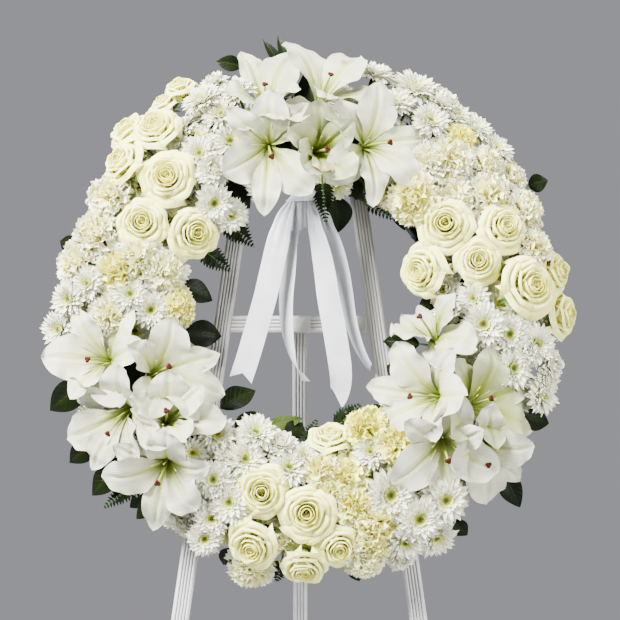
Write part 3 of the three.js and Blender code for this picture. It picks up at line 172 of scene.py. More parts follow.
# middle line of each tail in the object frame: x, y, z (mm), turn in degrees, pleating
RIBBON_1 = [[-19.2, -149.0, 1222.9, 34, 1], [-29.0, -156.0, 1207.8, 30, 0.8], [-35.0, -159.0, 1194.2, 24, 0.55], [-39.3, -161.0, 1179.5, 20, 0.4], [-44.0, -161.0, 1161.2, 10, 0.15], [-52.1, -160.0, 1125.9, 5, 0.03], [-58.5, -159.0, 1097.9, 3, 0], [-64.9, -158.0, 1074.7, 2, 0], [-71.6, -157.0, 1051.5, 2, 0], [-79.8, -156.0, 1023.4, 4, 0], [-89.4, -154.0, 994.0, 6, 0]]
RIBBON_2 = [[-14.4, -146.0, 1223.1, 50, 1], [-20.5, -147.0, 1208.3, 50, 0.8], [-23.5, -147.0, 1193.6, 50, 0.5], [-26.0, -146.0, 1180.1, 50, 0.25], [-29.3, -145.0, 1159.3, 50, 0.08], [-31.5, -144.0, 1126.2, 50, 0], [-33.8, -143.0, 1098.0, 52, 0], [-34.0, -142.0, 1077.1, 54, 0], [-32.1, -141.0, 1051.3, 60, 0], [-28.6, -140.0, 1032.8, 68, 0], [-24.6, -139.0, 1017.4, 78, 0], [-18.7, -138.0, 1005.7, 92, 0], [-12.5, -137.0, 995.8, 102, 0], [-7.0, -136.0, 987.8, 108, 0]]
RIBBON_3 = [[-7.0, -149.0, 1222.9, 48, 1], [-3.3, -155.0, 1207.9, 48, 0.8], [-0.3, -158.0, 1194.3, 48, 0.5], [1.6, -160.0, 1179.5, 46, 0.3], [5.9, -160.0, 1163.7, 42, 0.12], [9.9, -159.0, 1145.4, 33, 0.03], [13.3, -158.0, 1125.9, 26, 0], [17.4, -157.0, 1097.9, 17, 0], [21.8, -156.0, 1074.7, 6, 0], [26.0, -155.0, 1051.5, 4, 0], [30.5, -154.0, 1023.3, 8, 0], [32.8, -152.0, 1004.9, 16, 0], [33.0, -148.0, 990.1, 25, 0], [30.9, -141.0, 977.5, 34, 0], [27.5, -133.0, 968.6, 42, 0]]
RIBBON_4 = [[-2.1, -146.0, 1223.1, 52, 1], [6.5, -146.0, 1208.4, 52, 0.8], [12.6, -145.0, 1193.7, 52, 0.5], [17.0, -143.0, 1179.0, 52, 0.25], [24.0, -141.0, 1164.4, 52, 0.08], [30.3, -140.0, 1146.0, 52, 0], [35.2, -139.0, 1126.3, 53, 0], [38.8, -138.0, 1107.9, 55, 0], [41.9, -137.0, 1089.4, 58, 0], [45.0, -136.0, 1069.7, 60, 0], [49.6, -135.0, 1051.2, 62, 0], [56.1, -134.0, 1032.7, 66, 0], [65.1, -133.0, 1015.4, 72, 0], [73.8, -132.0, 1004.3, 76, 0]]


# ---------------------------------------------------------------- mesh tools
def to_frame(v):
    """Ring-frame millimetres to object-frame metres."""
    v = np.asarray(v, float)
    x, y, z = v[..., 0], v[..., 1], v[..., 2]
    return np.stack([CX + x, BY + y * CT + z * ST, CZ - y * ST + z * CT], -1) * 0.001


def unit(v):
    v = np.asarray(v, float)
    return v / np.linalg.norm(v, axis=-1, keepdims=True)


def basis(face):
    """Columns: side, up-ish, facing."""
    a = unit(face)
    up = np.array([0.0, 0.0, 1.0])
    if abs(a[2]) > 0.98:
        up = np.array([0.0, 1.0, 0.0])
    b2 = unit(up - a * up.dot(a))
    b1 = np.cross(b2, a)
    return np.stack([b1, b2, a], 1)


def smooth(x, a, b):
    t = np.clip((x - a) / (b - a), 0, 1)
    return t * t * (3 - 2 * t)


def mixc(a, b, k):
    k = np.asarray(k)[..., None]
    return np.asarray(a) * (1 - k) + np.asarray(b) * k


class Acc:
    """Gathers quad grids with colours and UVs, then makes one object."""

    def __init__(self):
        self.v, self.f, self.c, self.uv, self.m, self.n = [], [], [], [], [], 0

    def grids(self, p, col, uv, mat=0, wrap=False):
        """p is (P, nu, nv, 3); col (P, nu, nv, 3) or a colour; uv (P, nu, nv, 2)."""
        p = np.asarray(p, float)
        if p.ndim == 3:
            p = p[None]
        P, nu, nv, _ = p.shape
        col = np.broadcast_to(np.asarray(col, float), p.shape)
        uv = np.broadcast_to(np.asarray(uv, float), p.shape[:-1] + (2,))
        i, j = np.meshgrid(np.arange(nu - 1), np.arange(nv if wrap else nv - 1), indexing="ij")
        j1 = (j + 1) % nv
        q = np.stack([i * nv + j, i * nv + j1, (i + 1) * nv + j1, (i + 1) * nv + j], -1).reshape(-1, 4)
        f = (q[None] + (np.arange(P) * nu * nv)[:, None, None]).reshape(-1, 4) + self.n
        self.v.append(p.reshape(-1, 3))
        self.c.append(col.reshape(-1, 3))
        self.uv.append(uv.reshape(-1, 2))
        self.f.append(f)
        self.m.append(np.full(len(f), mat))
        self.n += P * nu * nv

    def tube(self, path, radius, col, mat=0, sides=7):
        """A round tube along points; radius a number or one for each point. Ends close."""
        path = np.asarray(path, float)
        n = len(path)
        r = np.broadcast_to(np.asarray(radius, float), (n,)).copy()
        t = np.gradient(path, axis=0)
        t = unit(t)
        ref = np.array([0.31, 0.17, 0.94])
        a = unit(np.cross(t, ref))
        b = np.cross(t, a)
        path = np.concatenate([path[:1], path, path[-1:]])
        r = np.concatenate([[1e-3], r, [1e-3]])
        a = np.concatenate([a[:1], a, a[-1:]])
        b = np.concatenate([b[:1], b, b[-1:]])
        ang = np.linspace(0, 2 * np.pi, sides, endpoint=False)
        p = path[:, None] + r[:, None, None] * (np.cos(ang)[None, :, None] * a[:, None] + np.sin(ang)[None, :, None] * b[:, None])
        uv = np.stack(np.meshgrid(np.linspace(0, 1, n + 2), ang / 6.28, indexing="ij"), -1)
        self.grids(p, col, uv, mat, wrap=True)

    def build(self, name, mats, body=FRONT, nodes=(), slot=None, ring_frame=True):
        v = np.concatenate(self.v)
        if ring_frame:
            v = to_frame(v)
        f = np.concatenate(self.f)
        me = bpy.data.meshes.new(name)
        me.vertices.add(len(v))
        me.vertices.foreach_set("co", v.astype(np.float32).ravel())
        me.loops.add(len(f) * 4)
        me.loops.foreach_set("vertex_index", f.astype(np.int32).ravel())
        me.polygons.add(len(f))
        me.polygons.foreach_set("loop_start", np.arange(0, len(f) * 4, 4, dtype=np.int32))
        me.polygons.foreach_set("use_smooth", np.ones(len(f), dtype=bool))
        me.polygons.foreach_set("material_index", np.concatenate(self.m).astype(np.int32))
        me.update(calc_edges=True)
        ca = me.color_attributes.new("Col", "FLOAT_COLOR", "POINT")
        c = np.concatenate(self.c)
        ca.data.foreach_set("color", np.concatenate([c, np.ones((len(c), 1))], 1).astype(np.float32).ravel())
        uvl = me.uv_layers.new(name="UVMap")
        uvl.data.foreach_set("uv", np.concatenate(self.uv)[f.ravel()].astype(np.float32).ravel())
        for m in mats:
            me.materials.append(m)
        me.validate()
        o = bpy.data.objects.new(name, me)
        bpy.context.scene.collection.objects.link(o)
        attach(o, body)
        if nodes:
            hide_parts(*nodes)
        return o


# ---------------------------------------------------------------- materials
def principled(name):
    m = bpy.data.materials.new(name)
    m.use_nodes = True
    nt = m.node_tree
    b = nt.nodes["Principled BSDF"]
    return m, nt, b


def link(nt, a, b):
    nt.links.new(a, b)


def noise(nt, scale, detail=3.0, coord=None, stretch=None):
    n = nt.nodes.new("ShaderNodeTexNoise")
    n.inputs["Scale"].default_value = scale
    n.inputs["Detail"].default_value = detail
    if coord is None:
        tc = nt.nodes.new("ShaderNodeTexCoord")
        coord = tc.outputs["Object"]
    if stretch is not None:
        mp = nt.nodes.new("ShaderNodeMapping")
        mp.inputs["Scale"].default_value = stretch
        link(nt, coord, mp.inputs["Vector"])
        coord = mp.outputs["Vector"]
    link(nt, coord, n.inputs["Vector"])
    return n


def ramp(nt, src, stops):
    r = nt.nodes.new("ShaderNodeValToRGB")
    e = r.color_ramp.elements
    while len(e) < len(stops):
        e.new(0.5)
    for k, (pos, col) in enumerate(stops):
        e[k].position = pos
        e[k].color = (*col, 1) if len(col) == 3 else col
    link(nt, src, r.inputs["Fac"])
    return r


def mixcol(nt, kind, fac, a, b):
    m = nt.nodes.new("ShaderNodeMix")
    m.data_type = "RGBA"
    m.blend_type = kind
    if isinstance(fac, (int, float)):
        m.inputs[0].default_value = fac
    else:
        link(nt, fac, m.inputs[0])
    for sock, val in ((m.inputs[6], a), (m.inputs[7], b)):
        if isinstance(val, tuple):
            sock.default_value = (*val, 1)
        else:
            link(nt, val, sock)
    return m.outputs[2]


def petal_material(name, rough=0.5, sheen=0.0, sss=0.06, veins=26.0, vein_depth=0.25, mottle=0.08, mottle_scale=90.0, spec=0.35, vein_groove_shade=(0.95, 0.955, 0.93)):
    m, nt, b = principled(name)
    at = nt.nodes.new("ShaderNodeVertexColor")
    at.layer_name = "Col"
    n1 = noise(nt, mottle_scale, 4)
    r1 = ramp(nt, n1.outputs["Fac"], [(0.3, (1 - mottle,) * 3), (0.7, (1 + mottle * 0.4,) * 3)])
    col = mixcol(nt, "MULTIPLY", 1.0, at.outputs["Color"], r1.outputs["Color"])
    uv = nt.nodes.new("ShaderNodeUVMap")
    uv.uv_map = "UVMap"
    w = nt.nodes.new("ShaderNodeTexWave")
    w.wave_type = "BANDS"
    w.bands_direction = "Y"
    w.inputs["Scale"].default_value = veins / 6.0
    w.inputs["Distortion"].default_value = 1.6
    w.inputs["Detail"].default_value = 2.0
    w.inputs["Detail Scale"].default_value = 1.5
    link(nt, uv.outputs["UV"], w.inputs["Vector"])
    # painted shade: the colour is darkened where the vein bump is low, so the grooves between the ribs read darker
    rv = ramp(nt, w.outputs["Fac"], [(0.0, vein_groove_shade), (0.6, (1, 1, 1))])
    col = mixcol(nt, "MULTIPLY", 0.8, col, rv.outputs["Color"])
    link(nt, col, b.inputs["Base Color"])
    bump = nt.nodes.new("ShaderNodeBump")
    bump.inputs["Strength"].default_value = vein_depth
    bump.inputs["Distance"].default_value = 0.0006
    n2 = noise(nt, 700.0, 3)
    add = nt.nodes.new("ShaderNodeMath")
    add.operation = "MULTIPLY_ADD"
    link(nt, n2.outputs["Fac"], add.inputs[0])
    add.inputs[1].default_value = 0.35
    link(nt, w.outputs["Fac"], add.inputs[2])
    link(nt, add.outputs[0], bump.inputs["Height"])
    link(nt, bump.outputs["Normal"], b.inputs["Normal"])
    rr = ramp(nt, n1.outputs["Fac"], [(0.3, (rough - 0.06,) * 3), (0.7, (rough + 0.08,) * 3)])
    link(nt, rr.outputs["Color"], b.inputs["Roughness"])
    b.inputs["Specular IOR Level"].default_value = spec
    b.inputs["Subsurface Weight"].default_value = sss
    b.inputs["Subsurface Radius"].default_value = (0.006, 0.005, 0.003)
    b.inputs["Subsurface Scale"].default_value = 0.6
    if sheen:
        b.inputs["Sheen Weight"].default_value = sheen
        b.inputs["Sheen Roughness"].default_value = 0.45
    return m


def leaf_material(name, rough=0.36, coat=0.03):
    m, nt, b = principled(name)
    at = nt.nodes.new("ShaderNodeVertexColor")
    at.layer_name = "Col"
    n1 = noise(nt, 60.0, 5)
    r1 = ramp(nt, n1.outputs["Fac"], [(0.3, (0.7, 0.75, 0.7)), (0.7, (1.25, 1.2, 1.1))])
    col = mixcol(nt, "MULTIPLY", 1.0, at.outputs["Color"], r1.outputs["Color"])
    uv = nt.nodes.new("ShaderNodeUVMap")
    uv.uv_map = "UVMap"
    sep = nt.nodes.new("ShaderNodeSeparateXYZ")
    link(nt, uv.outputs["UV"], sep.inputs[0])
    # veins slant forward from the midrib: bands of (s - 0.35*|t - 0.5|)
    d = nt.nodes.new("ShaderNodeMath"); d.operation = "SUBTRACT"
    link(nt, sep.outputs["Y"], d.inputs[0]); d.inputs[1].default_value = 0.5
    a = nt.nodes.new("ShaderNodeMath"); a.operation = "ABSOLUTE"
    link(nt, d.outputs[0], a.inputs[0])
    k = nt.nodes.new("ShaderNodeMath"); k.operation = "MULTIPLY_ADD"
    link(nt, a.outputs[0], k.inputs[0]); k.inputs[1].default_value = -0.45
    link(nt, sep.outputs["X"], k.inputs[2])
    s = nt.nodes.new("ShaderNodeMath"); s.operation = "MULTIPLY"
    link(nt, k.outputs[0], s.inputs[0]); s.inputs[1].default_value = 50.0
    sn = nt.nodes.new("ShaderNodeMath"); sn.operation = "SINE"
    link(nt, s.outputs[0], sn.inputs[0])
    rv = ramp(nt, sn.outputs[0], [(0.86, (0, 0, 0)), (1.0, (1, 1, 1))])
    mid = ramp(nt, a.outputs[0], [(0.0, (1, 1, 1)), (0.035, (0, 0, 0))])
    vein = mixcol(nt, "ADD", 1.0, rv.outputs["Color"], mid.outputs["Color"])
    pale = mixcol(nt, "ADD", 1.0, col, (0.0022, 0.0040, 0.0008))
    col = mixcol(nt, "MIX", vein, col, pale)
    link(nt, col, b.inputs["Base Color"])
    bump = nt.nodes.new("ShaderNodeBump")
    bump.inputs["Strength"].default_value = 0.5
    bump.inputs["Distance"].default_value = 0.0006
    bump.invert = True
    link(nt, vein, bump.inputs["Height"])
    link(nt, bump.outputs["Normal"], b.inputs["Normal"])
    b.inputs["Roughness"].default_value = rough
    b.inputs["Coat Weight"].default_value = coat
    b.inputs["Specular IOR Level"].default_value = 0.07
    b.inputs["Coat Roughness"].default_value = 0.25
    return m


def satin_material(name):
    m, nt, b = principled(name)
    n1 = noise(nt, 30.0, 2)
    r1 = ramp(nt, n1.outputs["Fac"], [(0.3, (0.52, 0.525, 0.56)), (0.7, (0.60, 0.605, 0.635))])
    link(nt, r1.outputs["Color"], b.inputs["Base Color"])
    uv = nt.nodes.new("ShaderNodeUVMap")
    uv.uv_map = "UVMap"
    w = nt.nodes.new("ShaderNodeTexWave")
    w.bands_direction = "X"
    w.inputs["Scale"].default_value = 60.0
    w.inputs["Distortion"].default_value = 0.4
    link(nt, uv.outputs["UV"], w.inputs["Vector"])
    bump = nt.nodes.new("ShaderNodeBump")
    bump.inputs["Strength"].default_value = 0.12
    bump.inputs["Distance"].default_value = 0.0002
    link(nt, w.outputs["Fac"], bump.inputs["Height"])
    link(nt, bump.outputs["Normal"], b.inputs["Normal"])
    rr = ramp(nt, n1.outputs["Fac"], [(0.2, (0.30,) * 3), (0.8, (0.42,) * 3)])
    link(nt, rr.outputs["Color"], b.inputs["Roughness"])
    b.inputs["Anisotropic"].default_value = 0.6
    b.inputs["Sheen Weight"].default_value = 0.25
    b.inputs["Specular IOR Level"].default_value = 0.6
    return m


def painted_wood(name):
    m, nt, b = principled(name)
    at = nt.nodes.new("ShaderNodeVertexColor")
    at.layer_name = "Col"
    grain = noise(nt, 30.0, 6, stretch=(9.0, 9.0, 0.35))
    wear = noise(nt, 14.0, 8, stretch=(3.0, 3.0, 0.5))
    r1 = ramp(nt, grain.outputs["Fac"], [(0.3, (0.86, 0.86, 0.86)), (0.62, (1.0, 1.0, 1.0))])
    col = mixcol(nt, "MULTIPLY", 1.0, at.outputs["Color"], r1.outputs["Color"])
    rw = ramp(nt, wear.outputs["Fac"], [(0.63, (0, 0, 0)), (0.70, (1, 1, 1))])
    col = mixcol(nt, "MIX", rw.outputs["Color"], col, (0.42, 0.39, 0.35))
    link(nt, col, b.inputs["Base Color"])
    bump = nt.nodes.new("ShaderNodeBump")
    bump.inputs["Strength"].default_value = 0.35
    bump.inputs["Distance"].default_value = 0.0006
    link(nt, grain.outputs["Fac"], bump.inputs["Height"])
    link(nt, bump.outputs["Normal"], b.inputs["Normal"])
    rr = ramp(nt, wear.outputs["Fac"], [(0.4, (0.38,) * 3), (0.7, (0.7,) * 3)])
    link(nt, rr.outputs["Color"], b.inputs["Roughness"])
    return m


def plain_material(name, low, high, scale, rough, metal=0.0, bump_d=0.0003, bump_s=0.3, bump_scale=300.0):
    m, nt, b = principled(name)
    n1 = noise(nt, scale, 5)
    r1 = ramp(nt, n1.outputs["Fac"], [(0.3, low), (0.7, high)])
    link(nt, r1.outputs["Color"], b.inputs["Base Color"])
    n2 = noise(nt, bump_scale, 4)
    bump = nt.nodes.new("ShaderNodeBump")
    bump.inputs["Strength"].default_value = bump_s
    bump.inputs["Distance"].default_value = bump_d
    link(nt, n2.outputs["Fac"], bump.inputs["Height"])
    link(nt, bump.outputs["Normal"], b.inputs["Normal"])
    rr = ramp(nt, n1.outputs["Fac"], [(0.2, (max(0.05, rough - 0.08),) * 3), (0.8, (rough + 0.1,) * 3)])
    link(nt, rr.outputs["Color"], b.inputs["Roughness"])
    b.inputs["Metallic"].default_value = metal
    return m


# lily petals get the strongest painted shade in their vein grooves
M_LILY = petal_material("lily_petal", rough=0.42, sss=0.10, veins=40.0, vein_depth=0.45, mottle=0.05, vein_groove_shade=(0.86, 0.87, 0.80))
M_ROSE = petal_material("rose_petal", rough=0.55, sheen=0.12, sss=0.42, veins=24.0, vein_depth=0.12, mottle=0.05)
M_CARN = petal_material("carnation_petal", rough=0.65, sheen=0.08, sss=0.62, veins=30.0, vein_depth=0.2, mottle=0.08)
M_MUM = petal_material("chrysanthemum_petal", rough=0.55, sss=0.14, veins=12.0, vein_depth=0.3, mottle=0.05)
M_PART = petal_material("stamen_and_style", rough=0.55, spec=0.12, sss=0.02, veins=6.0, vein_depth=0.1, mottle=0.15)
M_DISC = petal_material("chrysanthemum_disc", rough=0.7, sss=0.05, veins=10.0, vein_depth=0.5, mottle=0.3, mottle_scale=900.0)
M_STEM = leaf_material("stem_green", rough=0.45, coat=0.0)
M_LEAF = leaf_material("glossy_leaf")
M_FERN = leaf_material("fern_leaf", rough=0.42, coat=0.03)
M_SATIN = satin_material("white_satin")
M_WOOD = painted_wood("worn_white_paint")
M_STEEL = plain_material("dull_steel", (0.30, 0.29, 0.28), (0.46, 0.45, 0.44), 120, 0.38, metal=1.0, bump_d=0.0001)
M_FOAM = plain_material("floral_foam", (0.030, 0.075, 0.035), (0.055, 0.12, 0.055), 400, 0.9, bump_d=0.001, bump_s=0.8, bump_scale=900)
M_TRAY = plain_material("moulded_tray", (0.008, 0.030, 0.013), (0.014, 0.044, 0.020), 60, 0.62, bump_d=0.0002, bump_s=0.25, bump_scale=260)


# ---------------------------------------------------------------- flowers
def anchor(at):
    rho = math.hypot(at[0], at[2])
    r = min(FOAM_OUTER - 12, max(FOAM_INNER + 12, 0.55 * CORE + 0.45 * rho))
    return np.array([at[0] / rho * r, -FOAM_DEPTH + 10, at[2] / rho * r])


def stem_path(start, face, end, n=10):
    start, end = np.asarray(start, float), np.asarray(end, float)
    d = unit(face)
    k = 0.4 * np.linalg.norm(end - start)
    c1, c2 = start - d * k, end + np.array([0, -1, 0]) * k
    t = np.linspace(0, 1, n)[:, None]
    return (1 - t) ** 3 * start + 3 * (1 - t) ** 2 * t * c1 + 3 * (1 - t) * t * t * c2 + t ** 3 * end


WHITE = np.array([0.61, 0.61, 0.485])
LILY_THROAT = np.array([0.15, 0.21, 0.010])
LILY_PALE = np.array([0.50, 0.53, 0.115])


def lily(idx, spec, rng, greenish=0.0):
    acc = Acc()
    at, face = np.array(spec["at"]), np.array(spec["face"])
    R = basis(face)
    put = lambda p: p @ R.T + at
    pet = spec["petals"]
    n = len(pet)
    az = np.radians([q[0] for q in pet])
    gap_after = [((az[(i + 1) % n] - az[i]) % (2 * np.pi)) for i in range(n)]
    NU, NV = 30, 15
    s = np.linspace(0, 1, NU)[:, None]
    t = np.linspace(-1, 1, NV)[None, :]
    for i, (azd, opn, ln) in enumerate(pet):
        wide = i % 2 == 0 or (idx == 3 and azd == 108)
        half = 28.0 if wide else 20.5
        room = min(gap_after[i], gap_after[(i + n - 1) % n])
        half *= 0.84 + 0.16 * min(1.0, room / 1.0)
        half *= rng.uniform(0.95, 1.06)
        opn = min(opn, 92)
        th = math.radians(opn)
        ln = ln * 1.03
        bulge = (0.20 if opn < 75 else 0.12) + rng.uniform(-0.02, 0.03)
        recurve = rng.uniform(0.08, 0.20) * (1.0 if opn > 48 else 0.5)
        # midline of the petal: out along the throat, then bending outward
        rad = ln * math.sin(th) * s ** 1.18
        axl = ln * math.cos(th) * s ** 0.9 + bulge * ln * 3.2 * s * (1 - s) ** 1.6 * 0.9
        axl = axl + recurve * ln * (0.92 * s ** 2 - smooth(s, 0.62, 1.0) ** 1.5)
        rad = rad + 2.2 * (1 - s)
        wdt = half * (0.19 + 0.81 * smooth(s, 0.02, 0.56)) * np.clip(1 - s ** 4.2, 0, 1) ** 0.70
                # petals wrap round the funnel near the base
        curl = (1 - smooth(s, 0.05, 0.5)) * 0.9 + 0.20
        phase, ph2, ph3 = rng.uniform(0, 6.28, 3)
        edge = np.abs(t) ** 2.2
        ruff = edge * (3.4 * np.sin(s * rng.uniform(9, 13) + phase + (t > 0) * 2.1) + 1.2 * np.sin(s * 27 + ph2 + (t > 0)))
        ruff = ruff * smooth(s, 0.15, 0.4) * (1 - smooth(s, 0.86, 1.0) * 0.7)
        arc = t * wdt
        cup = curl * 0.55 * (arc ** 2) / (half + 4)
        groove = -2.2 * np.exp(-(arc / 2.1) ** 2) * smooth(s, 0.04, 0.2) * (1 - smooth(s, 0.8, 1.0))
        side_ridge = 0.7 * np.exp(-((np.abs(arc) - 4.8) / 2.2) ** 2) * smooth(s, 0.1, 0.3) * (1 - smooth(s, 0.75, 1.0))
        # pleats that run along the petal
        pleat = 0.35 * np.sin(arc * 0.9 + ph3) * smooth(s, 0.1, 0.35) * (1 - smooth(s, 0.7, 0.95))
        # direction normal to the petal midline, in the radial-axial plane
        dr = np.gradient(rad[:, 0]); da = np.gradient(axl[:, 0])
        L = np.hypot(dr, da); nr, na = (-da / L)[:, None], (dr / L)[:, None]
        h = cup + groove + side_ridge + pleat + ruff
        twist = rng.uniform(-0.14, 0.14) * s * t * half * 0.9
        h = h + twist - (0.0 if wide else 2.6 * smooth(s, 0, 0.3))
        rr = rad + nr * h
        zz = axl + na * h
        side = arc * (1 - 0.05 * curl * np.abs(t))
        sway = rng.uniform(-0.07, 0.07) * ln * s ** 2
        lat = side + sway
        ca, sa = math.cos(az[i]), math.sin(az[i])
        x = rr * ca - lat * sa
        y = rr * sa + lat * ca
        p = np.stack([x, y, np.broadcast_to(zz, x.shape)], -1)
        # colour: greenish throat and midrib, cool white blade
        thr = np.exp(-(s / 0.17) ** 2) + 0 * t
        mid = np.exp(-(arc / 2.3) ** 2) * (0.72 * (1 - smooth(s, 0.2, 1.0)) + 0.06)
        col = WHITE + 0 * p
        col = mixc(col, LILY_PALE, np.clip(mid + 0.74 * np.exp(-(s / 0.52) ** 2) * (0.4 + 0.6 * np.exp(-(arc / 10) ** 2)), 0, 1))
        col = mixc(col, LILY_THROAT, np.clip(thr * 0.92, 0, 1))
        if greenish:
            col = mixc(col, (0.20, 0.255, 0.008), np.clip(greenish * (0.58 + 0.42 * (1 - smooth(s, 0.3, 1.0))) * (1 - 0.40 * np.abs(t)), 0, 1))
        if idx == 5 and azd == 254:
            col = mixc(col, (0.42, 0.20, 0.05), 0.85 * smooth(s, 0.80, 0.93) + 0 * t)
        if idx == 3 and azd == 39:
            d2 = (s - 0.66) ** 2 * ln * ln + (arc - 6) ** 2
            col = mixc(col, (0.30, 0.15, 0.04), 0.95 * np.exp(-d2 / 22.0))
        uv = np.stack(np.broadcast_arrays(s, (t + 1) / 2), -1)
        acc.grids(put(p), col, uv)
    # throat cup and receptacle
    ss = np.linspace(0, 1, 8)[:, None]; aa = np.linspace(0, 2 * np.pi, 13)[None, :]
    rr = 1.5 + 7.0 * ss ** 0.8 + 0 * aa
    zz = -17 + 19 * ss + 0 * aa
    p = np.stack([rr * np.cos(aa), rr * np.sin(aa), zz], -1)
    acc.grids(put(p), mixc(np.array([0.30, 0.42, 0.10]) + 0 * p, (0.78, 0.84, 0.55), ss + 0 * aa), np.stack(np.broadcast_arrays(ss, aa / 6.283), -1))
    # filaments, no anthers
    for k in range(6):
        a = k * math.pi / 3 + rng.uniform(-0.2, 0.2) + az[0] + 0.3
        ln = rng.uniform(40, 48)
        q = np.linspace(0, 1, 9)[:, None]
        spread = rng.uniform(0.26, 0.40)
        r = 3.0 + ln * spread * q ** 1.5
        droop = -np.array([0, 1.0, 0]) * 0
        pth = np.concatenate([r * math.cos(a), r * math.sin(a), -6 + ln * q], 1) + droop
        c = mixc(np.array([0.17, 0.23, 0.03]) + 0 * pth, (0.42, 0.46, 0.12), q[:, 0])
        c = np.concatenate([c[:1], c, c[-1:]])[:, None, :]
        acc.tube(put(pth), np.linspace(1.1, 0.65, 9), np.broadcast_to(c, (11, 5, 3)), 1, sides=5)
    # style with its three-lobed stigma
    q = np.linspace(0, 1, 10)[:, None]
    bend = rng.uniform(4, 9); ba = rng.uniform(3.6, 5.8)
    ln = rng.uniform(50, 56)
    pth = np.concatenate([bend * q ** 2 * math.cos(ba), bend * q ** 2 * math.sin(ba), -4 + ln * q], 1)
    c = mixc(np.array([0.14, 0.21, 0.02]) + 0 * pth, (0.32, 0.39, 0.07), q[:, 0])
    c = np.concatenate([c[:1], c, c[-1:]])[:, None, :]
    acc.tube(put(pth), np.linspace(1.7, 1.4, 10), np.broadcast_to(c, (12, 6, 3)), 1, sides=6)
    tip = pth[-1]
    for k in range(3):
        a = k * 2.094 + ba
        cc = tip + np.array([1.8 * math.cos(a), 1.8 * math.sin(a), 0.6])
        u = np.linspace(0, np.pi, 7)[:, None]; v = np.linspace(0, 2 * np.pi, 9)[None, :]
        bl = np.stack([2.6 * np.sin(u) * np.cos(v), 2.6 * np.sin(u) * np.sin(v), 2.0 * np.cos(u) + 0 * v], -1) + cc
        acc.grids(put(bl), (0.045, 0.006, 0.0015), np.stack(np.broadcast_arrays(u / 3.15, v / 6.3), -1), 1)
    # stem into the foam
    start = at - unit(face) * 16
    pth = stem_path(start, face, anchor(at))
    acc.tube(pth, 3.0, (0.10, 0.20, 0.05), 2, sides=8)
    return acc.build("lily_head_%02d" % idx, [M_LILY, M_PART, M_STEM], nodes=["lily_%02d" % idx], slot="lily_petal")


IVORY = np.array([0.94, 0.925, 0.29])
ROSE_INNER = np.array([0.92, 0.88, 0.17])
ROSE_DEEP = np.array([0.90, 0.84, 0.10])
ROSE_RIM = np.array([0.965, 0.96, 0.43])
MUM_WHITE = (0.87, 0.87, 0.70)
CALYX = (0.13, 0.24, 0.07)


